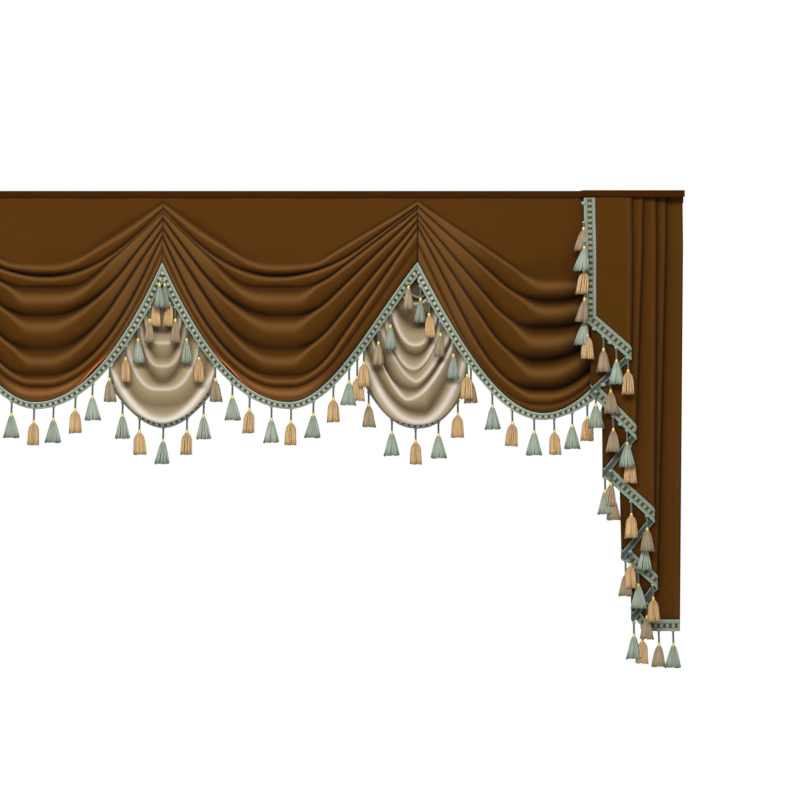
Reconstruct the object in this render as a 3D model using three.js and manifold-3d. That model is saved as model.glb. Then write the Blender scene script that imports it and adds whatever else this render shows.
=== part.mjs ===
// Swag valance: three velvet swags, two beige under-swags, a folded tail, and tasselled braid on every hem.
// Millimetres, +Z up, the front faces -Y. The origin is on the top back edge, above the middle swag.
import * as THREE from "three";
import Module from "manifold-3d";

const wasm = await Module();
wasm.setup();
const { lerp, smoothstep, degToRad } = THREE.MathUtils;

// Driving dimensions
const SWAG_WIDTH = 536;
const PIECE_GAP = 0.4;
const VELVET_THICKNESS = 2.2;
const SATIN_THICKNESS = 1.6;
const TAIL_THICKNESS = 1.6;
const CLOTH_TOP = 2.4;

// Heading binding: a folded band, open below
const HEADING_LEFT = -806;
const HEADING_RIGHT = 829;
const HEADING_WALL = 1.6;
const HEADING_LIP = 15;
const HEADING_BACK = 25;
const HEADING_DEPTH = 8.2;
const HEADING_STEP = { from: 611, to: 614, depth: 31 };

// How far the velvet stands out from the back plane: seat in the heading, pleated stack, belly below it
const VELVET_SEAT = 5.2;
const STACK = { from: 14, to: 151, depth: 31 };
const BELLY = { from: 150, to: 400, depth: 6 };
const FOLD_DEPTH = 0.3;
const FOLD_NOSE = 0.7;
const PLEAT_FULLNESS = 0.45;
const SWAG_COLUMNS = 20;
const FOLD_STEPS = [0.34, 0.68, 1];
const PLAIN_STEPS = [0.5, 1];

// Valleys between the folds, as drops below the top edge: at both stacks of pleats, and along the low
// stretch between two shares of the width. From there a line curves for a share of its way to the pleats,
// its bend, and then runs straight. The hem is cut, not hung: its taut side runs nearly straight.
const level = { from: 0.5, to: 0.5, leftBend: 1, rightBend: 1 };
const plainLine = (drop) => ({ left: drop, low: drop, right: drop, ...level });
const SWAG_LINES = [
  plainLine(CLOTH_TOP),
  plainLine(HEADING_LIP + 1),
  { left: 23, low: 149, right: 21, from: 0.427, to: 0.58, leftBend: 0.39, rightBend: 0.15 },
  { left: 40, low: 178, right: 32, from: 0.45, to: 0.456, leftBend: 0.85, rightBend: 0.61 },
  { left: 45, low: 202, right: 38, from: 0.38, to: 0.527, leftBend: 0.36, rightBend: 0.32 },
  { left: 59, low: 262, right: 48, from: 0.416, to: 0.505, leftBend: 0.68, rightBend: 0.3 },
  { left: 80, low: 334, right: 64, from: 0.44, to: 0.492, leftBend: 0.59, rightBend: 0.33 },
  { left: 96, low: 387, right: 79, from: 0.445, to: 0.515, leftBend: 0.86, rightBend: 0.32 },
  { left: 122, low: 414, right: 118, from: 0.455, to: 0.5, leftBend: 1, rightBend: 0.42 },
  { left: 151, low: 445, right: 151, from: 0.496, to: 0.496, leftTaut: 0, rightTaut: 0.87 },
];
const END_SWAG_LINES = [
  plainLine(CLOTH_TOP),
  plainLine(HEADING_LIP + 1),
  { left: 20, low: 182, right: 34, from: 0.49, to: 0.594, leftBend: 0.22, rightBend: 0.82 },
  { left: 32, low: 234, right: 56, from: 0.5, to: 0.53, leftBend: 0.36, rightBend: 1 },
  { left: 48, low: 289, right: 72, from: 0.462, to: 0.535, leftBend: 0.38, rightBend: 1 },
  { left: 61, low: 356, right: 88, from: 0.461, to: 0.48, leftBend: 0.42, rightBend: 1 },
  { left: 74, low: 415, right: 100, from: 0.458, to: 0.512, leftBend: 0.57, rightBend: 0.62 },
  { left: 108, low: 450, right: 122, from: 0.47, to: 0.5, leftBend: 0.72, rightBend: 0.8 },
  { left: 151, low: 468, right: 151, from: 0.49, to: 0.49, leftTaut: 0.4, rightTaut: 0.26 },
];
const PLAIN_BANDS = 2;
// The tail presses the right swag flat behind it
const PRESSED = { from: 560, to: 650, share: 0.3 };
const SWAGS = [
  { name: "swag_left", middle: -SWAG_WIDTH, mirrored: true, lines: SWAG_LINES },
  { name: "swag_middle", middle: 0, lines: SWAG_LINES },
  { name: "swag_right", middle: SWAG_WIDTH, lines: END_SWAG_LINES, pressed: PRESSED },
];

// Under-swags: reach of each valley line to both sides, its drop at the sides and at its low point, how far
// that point leans to the right, and how round the line is: 2 is a parabola and more is nearer to a U
const straightLine = (drop) => ({ left: 50, right: 50, side: drop, low: drop, lean: 0, round: 2 });
const UNDER_LEFT_LINES = [
  straightLine(CLOTH_TOP),
  straightLine(25),
  { left: 34, right: 34, side: 190, low: 205, lean: 0, round: 2.5 },
  { left: 34, right: 34, side: 215, low: 296, lean: 0, round: 3 },
  { left: 40, right: 40, side: 236, low: 354, lean: 0, round: 3.4 },
  { left: 52, right: 52, side: 256, low: 403, lean: 0, round: 3.4 },
  { left: 94, right: 94, side: 330, low: 453, lean: 0, round: 3 },
  { left: 111, right: 111, side: 380, low: 487, lean: 0, round: 1.85 },
];
const UNDER_RIGHT_LINES = [
  straightLine(CLOTH_TOP),
  straightLine(25),
  { left: 44, right: 34, side: 180, low: 200, lean: 0, round: 2.5 },
  { left: 52, right: 36, side: 206, low: 273, lean: 0, round: 2.8 },
  { left: 58, right: 50, side: 232, low: 347, lean: 0, round: 2.7 },
  { left: 76, right: 62, side: 258, low: 411, lean: -8, round: 2.7 },
  { left: 104, right: 90, side: 314, low: 464, lean: 17, round: 2.1 },
  { left: 112, right: 105, side: 366, low: 490, lean: 0, round: 2.3 },
];
const UNDER_COLUMNS = 14;
const UNDER_SEAT = 2.8;
const UNDER_STAND = { from: 60, to: 210, depth: 7 };
const UNDER_FOLD_DEPTH = 0.16;
const UNDER_SIDE_FULLNESS = 0.4;

// Tail: fold lines from the leading edge to the far edge, each with its place and its drop at the hem
const TAIL_FOLDS = [
  { top: 641.5, hem: 641.5, drop: 265 },
  { top: 718, hem: 714, drop: 326 },
  { top: 634, hem: 630, drop: 399 },
  { top: 743, hem: 725, drop: 489 },
  { top: 651, hem: 655, drop: 570 },
  { top: 770, hem: 764, drop: 664 },
  { top: 676, hem: 695, drop: 742 },
  { top: 792, hem: 771, drop: 804 },
  { top: 697, hem: 717, drop: 872 },
  { top: 827, hem: 819, drop: 985 },
];
const TAIL_DROP = 903;
// Rows seated in the heading and through the pressed pleats, shared by every layer, then rows to the hem
const TAIL_UPPER_DROPS = [CLOTH_TOP, HEADING_LIP + 1, 50, 85, 120, 154];
const TAIL_LOWER_ROWS = 4;
const TAIL_REAR = { seat: 7.4, from: 14, to: 134, depth: 17 };
const TAIL_PITCH = { pressed: 2.6, from: 14, to: 154, opened: 1.8, end: 850, fanned: 2.1 };
const TURN_ANGLES = [0, 60, 120, 180].map(degToRad);
const LAYER_SHARE = 0.3;

// Braid and tassels
const BRAID_WIDTH = 24;
const BRAID_THICKNESS = 2.4;
const SWAG_BRAID_TILT = { side: degToRad(36), low: degToRad(52) };
const TASSEL_RINGS = [
  { down: -3, across: 1.6, deep: 1.0 },
  { down: 24.5, across: 1.6, deep: 1.6 },
  { down: 28, across: 4, deep: 4 },
  { down: 31.5, across: 2.6, deep: 2.6 },
  { down: 37.5, across: 6.5, deep: 4.2 },
  { down: 74, across: 12, deep: 5 },
];
const TASSEL_ROOT = 4;
const TASSEL_LENGTH = 74;
const HANG_FORWARD = 7;
// Tassels on each braid: distance from the middle of the cloth to the right, how much shorter the cord is,
// and how far up the braid its root sits, as a share of the braid. Next to a seam they are drawn up.
const hung = (at, shorter = 0, raised = 0, forward = HANG_FORWARD) => ({ at, shorter, raised, forward });
const SWAG_TASSELS = [
  hung(-263, 20, 0.3),
  hung(-254, 12),
  ...[-241, -217, -191, -157, -121, -85, -39, 2, 49, 91, 124].map((at) => hung(at)),
  hung(141, -12, 0, 3),
  hung(155, 0, 0, 11),
  hung(186),
  hung(211),
  hung(249, 20, 0.3),
];
// Where two drawn up tassels meet at a seam, one hangs this far in front of the other
const SEAM_STAGGER = 12;
const END_SWAG_TASSELS = [
  ...[-262, -244, -220, -193].map((at) => hung(at)),
  hung(-164, 0, 0, 11),
  hung(-156, 0, 0, 2),
  ...[-111, -69, -23, 19, 57, 89, 126, 158, 186, 211, 233].map((at) => hung(at)),
];
const UNDER_LEFT_TASSELS = [-86, -50, 0, 50, 85].map((at) => hung(at));
const UNDER_RIGHT_TASSELS = [-103, -54, -4, 44, 85].map((at) => hung(at));
// Each under-swag has its own belly, and a tilt of its braid at the sides and at the low point
const UNDER_SWAGS = [
  {
    name: "under_swag_left",
    middle: -0.5 * SWAG_WIDTH,
    lines: UNDER_LEFT_LINES,
    belly: { from: 330, to: 450, depth: 16 },
    tilt: { side: degToRad(18), low: degToRad(58) },
    tassels: UNDER_LEFT_TASSELS,
  },
  {
    name: "under_swag_right",
    middle: 0.5 * SWAG_WIDTH,
    lines: UNDER_RIGHT_LINES,
    belly: { from: 350, to: 460, depth: 20 },
    tilt: { side: degToRad(18), low: degToRad(64) },
    tassels: UNDER_RIGHT_TASSELS,
  },
];

// The leading edge of the tail has its tassels on short cords; below it each layer has its own
const EDGE_TASSELS = { drops: [69, 110, 158, 218, 264], lean: -9, shorter: 14, forward: 8, stagger: 11 };
const LAYER_TASSELS = [
  [621, 656, 684, 709],
  [671, 638],
  [676, 707],
  [714, 670, 657],
  [674, 715, 750],
  [746, 712],
  [701, 730, 764],
  [750, 719],
  [737, 773, 804],
];
const LAYER_FORWARD = { front: 9, back: 4.2 };

const VELVET = new THREE.MeshStandardMaterial({ color: 0x5c3816, roughness: 0.85, metalness: 0 });
const SATIN = new THREE.MeshStandardMaterial({ color: 0xb9a384, roughness: 0.55, metalness: 0 });
const TRIM = new THREE.MeshStandardMaterial({ color: 0x8ea899, roughness: 0.7, metalness: 0 });

const group = new THREE.Group();

function addMesh(name, geometry, material) {
  const mesh = new THREE.Mesh(geometry, material.clone());
  mesh.name = name;
  group.add(mesh);
}

// Depth gained between two drops
const eased = (drop, step) => step.depth * smoothstep(drop, step.from, step.to);

// Closed body through rings of equal length: each ring is a run along one side and back along the other
function loft(rings) {
  const count = rings[0].length;
  const last = (rings.length - 1) * count;
  const faces = [];
  const quad = (a, b, c, d) => faces.push([a, b, c], [a, c, d]);
  for (let start = 0; start < last; start += count) {
    for (let i = 0; i < count; i++) {
      const next = (i + 1) % count;
      quad(start + i, start + next, start + count + next, start + count + i);
    }
  }
  for (let i = 0; i + 1 < count / 2; i++) {
    const across = count - 1 - i;
    quad(i + 1, i, across, across - 1);
    quad(last + i, last + i + 1, last + across - 1, last + across);
  }
  const points = rings.flat();
  let volume = 0;
  for (const [a, b, c] of faces) {
    volume += points[a].dot(points[b].clone().cross(points[c]));
  }
  const outward = volume > 0 ? faces : faces.map(([a, b, c]) => [a, c, b]);
  const geometry = new THREE.BufferGeometry().setFromPoints(points);
  geometry.setIndex(outward.flat());
  geometry.computeVertexNormals();
  return geometry;
}

function toSolid(geometry) {
  const vertProperties = geometry.getAttribute("position").array;
  const triVerts = new Uint32Array(geometry.index.array);
  return new wasm.Manifold(new wasm.Mesh({ numProp: 3, vertProperties, triVerts }));
}

// One body of a braid and the tassels fused to it
function joined(braid, tassels) {
  const mesh = tassels.reduce((body, tassel) => body.add(toSolid(tassel)), toSolid(braid)).getMesh();
  const geometry = new THREE.BufferGeometry();
  geometry.setAttribute("position", new THREE.BufferAttribute(mesh.vertProperties, 3));
  geometry.setIndex(new THREE.BufferAttribute(mesh.triVerts, 1));
  geometry.computeVertexNormals();
  return geometry;
}

// Sheet between the columns of a surface; its thickness is measured front to back
function sheet(columns, stations, thickness, pointAt) {
  const half = new THREE.Vector3(0, thickness / 2, 0);
  const rings = [];
  for (let column = 0; column <= columns; column++) {
    const run = stations.map(({ band, t }) => pointAt(column / columns, band, t));
    const front = run.map((point) => point.clone().sub(half));
    const back = run.map((point) => point.clone().add(half));
    rings.push([...front, ...back.reverse()]);
  }
  return loft(rings);
}

function bandStations(bands, stepsOf) {
  const stations = [{ band: 0, t: 0 }];
  for (let band = 0; band < bands; band++) {
    stations.push(...stepsOf(band).map((t) => ({ band, t })));
  }
  return stations;
}

// Rise of a line from its low stretch (0) to the pleats (1): of a hung valley and of the cut hem
const bentRise = (t, bend) => (t < bend ? t ** 2 / bend : 2 * t - bend) / (2 - bend);
const tautRise = (t, taut) => t ** 2 * (1 + taut * (1 - t));

function lineDrop(line, u) {
  const onLeft = u < line.from;
  const t = onLeft ? 1 - u / line.from : Math.max(u - line.to, 0) / (1 - line.to);
  const [pleat, bend, taut] = onLeft
    ? [line.left, line.leftBend, line.leftTaut]
    : [line.right, line.rightBend, line.rightTaut];
  return lerp(line.low, pleat, taut === undefined ? bentRise(t, bend) : tautRise(t, taut));
}

const foldWave = (t) => Math.sin(Math.PI * t ** FOLD_NOSE);

function pressedShare(swag, x) {
  if (!swag.pressed) return 1;
  const { from, to, share } = swag.pressed;
  return lerp(1, share, smoothstep(x, from, to));
}

function swagEnds({ middle }) {
  const reach = SWAG_WIDTH / 2 - PIECE_GAP;
  return [middle - reach, middle + reach];
}

function swagPoint(swag, across, band, t) {
  const u = swag.mirrored ? 1 - across : across;
  const [left, right] = swagEnds(swag);
  const x = lerp(left, right, across);
  const above = lineDrop(swag.lines[band], u);
  const below = lineDrop(swag.lines[band + 1], u);
  const drop = lerp(above, below, t);
  const fullness = lerp(1, PLEAT_FULLNESS, (2 * u - 1) ** 2);
  const fold = band < PLAIN_BANDS ? 0 : FOLD_DEPTH * (below - above) * fullness * foldWave(t);
  const stand = eased(drop, STACK) + eased(drop, BELLY) + fold;
  return new THREE.Vector3(x, -VELVET_SEAT - pressedShare(swag, x) * stand, -drop);
}

// Columns lie closer together towards the steep sides
function underPoint(under, across, band, t) {
  const side = Math.sin((Math.PI / 2) * (2 * across - 1));
  const inward = 1 - side ** 2;
  const [above, below] = [under.lines[band], under.lines[band + 1]];
  const dropOf = (line) => lerp(line.low, line.side, Math.abs(side) ** line.round);
  const xOf = (line) => (side < 0 ? line.left : line.right) * side + line.lean * inward;
  const drop = lerp(dropOf(above), dropOf(below), t);
  const fullness = lerp(UNDER_SIDE_FULLNESS, 1, inward);
  const fold = UNDER_FOLD_DEPTH * (dropOf(below) - dropOf(above)) * fullness * foldWave(t);
  const belly = eased(drop, under.belly) * inward;
  const stand = eased(drop, UNDER_STAND) + belly + (band < PLAIN_BANDS ? 0 : fold);
  return new THREE.Vector3(under.middle + lerp(xOf(above), xOf(below), t), -UNDER_SEAT - stand, -drop);
}

// A tassel is one four-sided lock: cord, bead, neck and skirt, hung from a root inside the braid
function tassel(root, inside, { lean = 0, forward = HANG_FORWARD, shorter = 0 } = {}) {
  const rings = TASSEL_RINGS.map(({ down, across, deep }, index) => {
    const hang = index === 0 ? down : down - shorter;
    const centre = root.clone();
    if (index === 0) centre.copy(inside);
    else centre.add(new THREE.Vector3((lean * hang) / TASSEL_LENGTH, -forward, -hang));
    const corner = (sx, sy) => centre.clone().add(new THREE.Vector3(sx * across, sy * deep, 0));
    return [corner(-1, -1), corner(1, -1), corner(1, 1), corner(-1, 1)];
  });
  return loft(rings);
}

// A braid leans back most where its hem is lowest
function braidTilts(tilt, columns) {
  const sideward = (i) => ((2 * i) / columns - 1) ** 2;
  return Array.from({ length: columns + 1 }, (_, i) => lerp(tilt.low, tilt.side, sideward(i)));
}

// Braid along a hem: it starts just below the cloth's edge and leans back; its ends are cut upright
function hemBraid(hem, tilts, endPlanes) {
  return hem.map((point, i) => {
    const before = hem[Math.max(i - 1, 0)];
    const after = hem[Math.min(i + 1, hem.length - 1)];
    const along = new THREE.Vector3(after.x - before.x, 0, after.z - before.z).normalize();
    const outward = new THREE.Vector3(along.z, 0, -along.x);
    const backward = new THREE.Vector3(0, 1, 0);
    const down = outward.clone().multiplyScalar(Math.cos(tilts[i]));
    down.addScaledVector(backward, Math.sin(tilts[i]));
    const front = outward.clone().multiplyScalar(Math.sin(tilts[i]));
    front.addScaledVector(backward, -Math.cos(tilts[i]));
    const upright = (corner) => {
      const plane = THREE.MathUtils.clamp(corner.x, endPlanes[0], endPlanes[1]);
      return corner.addScaledVector(along, (plane - corner.x) / along.x);
    };
    const inner = point.clone().addScaledVector(outward, PIECE_GAP);
    const outer = point.clone().addScaledVector(down, BRAID_WIDTH);
    const half = BRAID_THICKNESS / 2;
    const ring = [
      upright(inner.clone().addScaledVector(backward, -half)),
      upright(outer.clone().addScaledVector(front, half)),
      upright(outer.clone().addScaledVector(front, -half)),
      upright(inner.clone().addScaledVector(backward, half)),
    ];
    return { ring, edge: upright(outer.clone()), hem: upright(inner.clone()) };
  });
}

// Point at x on a line that runs from left to right through points
function pointAtX(points, x) {
  const after = Math.max(points.findIndex((point) => point.x > x), 1);
  const [from, to] = [points[after - 1], points[after]];
  return from.clone().lerp(to, (x - from.x) / (to.x - from.x));
}

// Roots lie on the braid's lower edge, or on the braid itself where they are raised
function hungTassels(sections, places) {
  const edges = sections.map(({ edge }) => edge);
  const hems = sections.map(({ hem }) => hem);
  return places.map(({ x, raised, ...hang }) => {
    const [edge, hem] = [pointAtX(edges, x), pointAtX(hems, x)];
    const root = edge.clone().lerp(hem, raised);
    const inside = hem.sub(edge).setLength(TASSEL_ROOT).add(root);
    return tassel(root, inside, hang);
  });
}

// Heading
function headingRing(x, depth) {
  const outer = [[0, HEADING_BACK], [0, 0], [depth, 0], [depth, HEADING_LIP]];
  const inner = [
    [HEADING_WALL, HEADING_BACK],
    [HEADING_WALL, HEADING_WALL],
    [depth - HEADING_WALL, HEADING_WALL],
    [depth - HEADING_WALL, HEADING_LIP],
  ];
  return [...outer, ...inner.reverse()].map(([forward, drop]) => new THREE.Vector3(x, -forward, -drop));
}
const headingRings = [
  headingRing(HEADING_LEFT, HEADING_DEPTH),
  headingRing(HEADING_STEP.from, HEADING_DEPTH),
  headingRing(HEADING_STEP.to, HEADING_STEP.depth),
  headingRing(HEADING_RIGHT, HEADING_STEP.depth),
];
addMesh("heading", loft(headingRings), VELVET);

// Velvet swags and their braids
for (const swag of SWAGS) {
  const bands = swag.lines.length - 1;
  const stepsOf = (band) => (band === 0 ? [1] : band < PLAIN_BANDS ? PLAIN_STEPS : FOLD_STEPS);
  const point = (across, band, t) => swagPoint(swag, across, band, t);
  addMesh(swag.name, sheet(SWAG_COLUMNS, bandStations(bands, stepsOf), VELVET_THICKNESS, point), VELVET);
  const hem = Array.from({ length: SWAG_COLUMNS + 1 }, (_, i) => point(i / SWAG_COLUMNS, bands - 1, 1));
  const freeTilts = braidTilts(SWAG_BRAID_TILT, SWAG_COLUMNS);
  const tilts = freeTilts.map((tilt, i) => tilt * pressedShare(swag, hem[i].x));
  const sections = hemBraid(hem, tilts, swagEnds(swag));
  const row = swag.pressed ? END_SWAG_TASSELS : SWAG_TASSELS;
  const places = row.map((place) => ({
    ...place,
    x: swag.middle + (swag.mirrored ? -place.at : place.at),
    forward: place.forward + (swag.mirrored && place.raised ? SEAM_STAGGER : 0),
  }));
  const tassels = hungTassels(sections, places);
  addMesh(`${swag.name}_fringe`, joined(loft(sections.map(({ ring }) => ring)), tassels), TRIM);
}

// Under-swags and their braids
for (const under of UNDER_SWAGS) {
  const bands = under.lines.length - 1;
  const stepsOf = (band) => (band === 0 ? [1] : band < PLAIN_BANDS ? PLAIN_STEPS : FOLD_STEPS);
  const point = (across, band, t) => underPoint(under, across, band, t);
  addMesh(under.name, sheet(UNDER_COLUMNS, bandStations(bands, stepsOf), SATIN_THICKNESS, point), SATIN);
  const hem = Array.from({ length: UNDER_COLUMNS + 1 }, (_, i) => point(i / UNDER_COLUMNS, bands - 1, 1));
  const { left, right } = under.lines[bands];
  const tilts = braidTilts(under.tilt, UNDER_COLUMNS);
  const sections = hemBraid(hem, tilts, [under.middle - left, under.middle + right]);
  const places = under.tassels.map((place) => ({ ...place, x: under.middle + place.at }));
  const tassels = hungTassels(sections, places);
  addMesh(`${under.name}_fringe`, joined(loft(sections.map(({ ring }) => ring)), tassels), TRIM);
}

// Tail: layers lie one behind the other, joined by half turns at the fold lines
const LAYERS = TAIL_FOLDS.length - 1;

function layerPitch(drop) {
  const opened = TAIL_PITCH.opened * smoothstep(drop, TAIL_PITCH.from, TAIL_PITCH.to);
  const fanned = TAIL_PITCH.fanned * smoothstep(drop, TAIL_PITCH.to, TAIL_PITCH.end);
  return TAIL_PITCH.pressed + opened + fanned;
}

const layerStand = (layer, drop) =>
  TAIL_REAR.seat + eased(drop, TAIL_REAR) + (LAYERS - 1 - layer) * layerPitch(drop);

const foldX = (fold, drop) => lerp(fold.top, fold.hem, Math.min(drop / fold.drop, 1));

// Layers with even numbers run to the right, the others run back
function tailPoint({ layer, share, turn }, drop) {
  const radius = layerPitch(drop) / 2;
  const way = layer % 2 === 0 ? 1 : -1;
  const stand = layerStand(layer, drop);
  if (turn === undefined) {
    const inset = (fold, toward) => (fold === 0 || fold === LAYERS ? 0 : toward * radius);
    const from = foldX(TAIL_FOLDS[layer], drop) + inset(layer, way);
    const to = foldX(TAIL_FOLDS[layer + 1], drop) - inset(layer + 1, way);
    const at = new THREE.Vector3(lerp(from, to, share), -stand, -drop);
    return { at, normal: new THREE.Vector3(0, way, 0) };
  }
  const foldLine = foldX(TAIL_FOLDS[layer + 1], drop);
  const middle = new THREE.Vector3(foldLine - way * radius, radius - stand, -drop);
  const round = new THREE.Vector3(way * Math.sin(turn), -Math.cos(turn), 0);
  const normal = new THREE.Vector3(-Math.sin(turn), way * Math.cos(turn), 0);
  return { at: middle.addScaledVector(round, radius), normal };
}

const tailStations = [{ layer: 0, share: 0 }];
for (let layer = 0; layer < LAYERS; layer++) {
  tailStations.push({ layer, share: LAYER_SHARE });
  if (layer + 1 < LAYERS) tailStations.push(...TURN_ANGLES.map((turn) => ({ layer, turn })));
}
tailStations.push({ layer: LAYERS - 1, share: 1 });

function hemDrop({ layer, share = 1 }) {
  return Math.min(lerp(TAIL_FOLDS[layer].drop, TAIL_FOLDS[layer + 1].drop, share), TAIL_DROP);
}

// Height of the braid on a sloping hem, so that its width across the slope stays the same
function braidHeight({ layer, turn }) {
  const slopeOf = (i) => {
    const [from, to] = [TAIL_FOLDS[i], TAIL_FOLDS[i + 1]];
    return i === LAYERS - 1 ? 0 : (to.drop - from.drop) / (to.hem - from.hem);
  };
  const here = BRAID_WIDTH * Math.hypot(1, slopeOf(layer));
  if (turn === undefined) return here;
  return lerp(here, BRAID_WIDTH * Math.hypot(1, slopeOf(layer + 1)), turn / Math.PI);
}

function offset({ at, normal }, distance) {
  return at.clone().addScaledVector(normal, distance);
}

function tailDrops(hem) {
  const last = TAIL_UPPER_DROPS.at(-1);
  const lowerDrop = (_, i) => lerp(last, hem, (i + 1) / TAIL_LOWER_ROWS);
  return [...TAIL_UPPER_DROPS, ...Array.from({ length: TAIL_LOWER_ROWS }, lowerDrop)];
}

const tailRings = [];
for (let row = 0; row < TAIL_UPPER_DROPS.length + TAIL_LOWER_ROWS; row++) {
  const run = tailStations.map((station) => tailPoint(station, tailDrops(hemDrop(station))[row]));
  const near = run.map((point) => offset(point, -TAIL_THICKNESS / 2));
  const far = run.map((point) => offset(point, TAIL_THICKNESS / 2));
  tailRings.push([...near, ...far.reverse()]);
}
addMesh("tail", loft(tailRings), VELVET);

// The tail's braid runs down the leading edge, round its corner and along the folded hem
const EDGE_X = TAIL_FOLDS[0].hem - PIECE_GAP;
const EDGE_OUTER = EDGE_X - BRAID_WIDTH;
const CORNER_SLOPE = (TAIL_FOLDS[1].drop - TAIL_FOLDS[0].drop) / (TAIL_FOLDS[1].hem - TAIL_FOLDS[0].hem);
const CORNER_INNER = TAIL_FOLDS[0].drop + PIECE_GAP;
const CORNER_OUTER = CORNER_INNER + BRAID_WIDTH * (Math.hypot(1, CORNER_SLOPE) - CORNER_SLOPE);
const EDGE_DROPS = TAIL_UPPER_DROPS.slice(1);

const edgePoint = (x, drop, side) =>
  new THREE.Vector3(x, -layerStand(0, drop) + (side * BRAID_THICKNESS) / 2, -drop);
const edgeRing = (innerDrop, outerDrop) => [
  edgePoint(EDGE_X, innerDrop, -1),
  edgePoint(EDGE_OUTER, outerDrop, -1),
  edgePoint(EDGE_OUTER, outerDrop, 1),
  edgePoint(EDGE_X, innerDrop, 1),
];
const hemRing = (station) => {
  const inner = tailPoint(station, hemDrop(station) + PIECE_GAP);
  const outer = tailPoint(station, hemDrop(station) + braidHeight(station));
  const half = BRAID_THICKNESS / 2;
  return [offset(inner, -half), offset(outer, -half), offset(outer, half), offset(inner, half)];
};
const tailBraid = loft([
  ...EDGE_DROPS.map((drop) => edgeRing(drop, drop)),
  edgeRing(CORNER_INNER, CORNER_OUTER),
  ...tailStations.slice(1).map(hemRing),
]);

const edgeTassels = EDGE_TASSELS.drops.map((drop, i) => {
  const root = edgePoint(EDGE_OUTER, drop, 0);
  const inside = edgePoint(EDGE_OUTER + TASSEL_ROOT, drop, 0);
  const { lean, shorter } = EDGE_TASSELS;
  const forward = EDGE_TASSELS.forward + (i % 2) * EDGE_TASSELS.stagger;
  return tassel(root, inside, { lean, shorter, forward });
});
const layerTassels = LAYER_TASSELS.flatMap((places, layer) =>
  places.map((x) => {
    const [from, to] = [TAIL_FOLDS[layer].hem, TAIL_FOLDS[layer + 1].hem];
    const station = { layer, share: (x - from) / (to - from) };
    const edgeDrop = hemDrop(station) + braidHeight(station);
    const root = tailPoint(station, edgeDrop).at;
    const inside = tailPoint(station, edgeDrop - TASSEL_ROOT).at;
    const forward = layer % 2 === 0 ? LAYER_FORWARD.front : LAYER_FORWARD.back;
    return tassel(root, inside, { forward });
  }),
);
addMesh("tail_fringe", joined(tailBraid, [...edgeTassels, ...layerTassels]), TRIM);

export default group;
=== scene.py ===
# %% [markdown]
# # A swag valance with a folded tail
# A swag valance dresses the top of a window. Curved swags of brown velvet hang side by side from a straight
# heading, two pale under-swags fill the gaps between them, and a tail of velvet, pleated back and forth,
# hangs at one end. A woven braid with tassels is sewn to every hem. The solids of the frame give all sizes
# and places, and this lesson dresses them: first the picture, then the finishes, then one piece after
# another.

import math
from collections import namedtuple

import bmesh
import bpy
import numpy as np
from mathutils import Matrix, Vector


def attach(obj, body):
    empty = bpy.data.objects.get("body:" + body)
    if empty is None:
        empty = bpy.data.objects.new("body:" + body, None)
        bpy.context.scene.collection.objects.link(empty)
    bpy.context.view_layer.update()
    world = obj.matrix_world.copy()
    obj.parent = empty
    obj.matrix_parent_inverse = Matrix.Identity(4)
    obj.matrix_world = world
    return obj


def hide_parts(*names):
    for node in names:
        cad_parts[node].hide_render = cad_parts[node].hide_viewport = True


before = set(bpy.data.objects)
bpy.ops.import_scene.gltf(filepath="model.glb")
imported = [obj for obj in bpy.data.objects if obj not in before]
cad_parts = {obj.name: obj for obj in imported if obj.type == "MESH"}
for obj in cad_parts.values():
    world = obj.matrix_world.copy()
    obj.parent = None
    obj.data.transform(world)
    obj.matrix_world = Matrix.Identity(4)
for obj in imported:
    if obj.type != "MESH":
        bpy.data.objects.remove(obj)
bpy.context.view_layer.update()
scene = bpy.context.scene
MM = 0.001
print("solids in the frame:", len(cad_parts))

# %% [markdown]
# ## Camera
# The picture is taken dead from the front with hardly any perspective, so a long lens stands far away. One
# pixel of the 800 pixel picture is 2.1 mm on the cloth, which sets the lens. The middle of the picture lies
# to the right of the middle swag, so the left end of the valance is outside it.

# %% Camera
PICTURE_PIXELS, PIXEL = 800, 2.1 * MM
MIDDLE_RIGHT, MIDDLE_DOWN = 110, 210
CAMERA_DISTANCE, CLOTH_FRONT, SENSOR = 6.0, 30 * MM, 36
camera = bpy.data.objects.new("camera", bpy.data.cameras.new("camera"))
scene.collection.objects.link(camera)
camera.location = (MIDDLE_RIGHT * PIXEL, -CAMERA_DISTANCE - CLOTH_FRONT, -MIDDLE_DOWN * PIXEL)
camera.rotation_euler = (math.radians(90), 0, 0)
camera.data.sensor_width = SENSOR
camera.data.lens = SENSOR * CAMERA_DISTANCE / (PICTURE_PIXELS * PIXEL)
scene.camera = camera
print("lens of", round(camera.data.lens), "mm")
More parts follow.
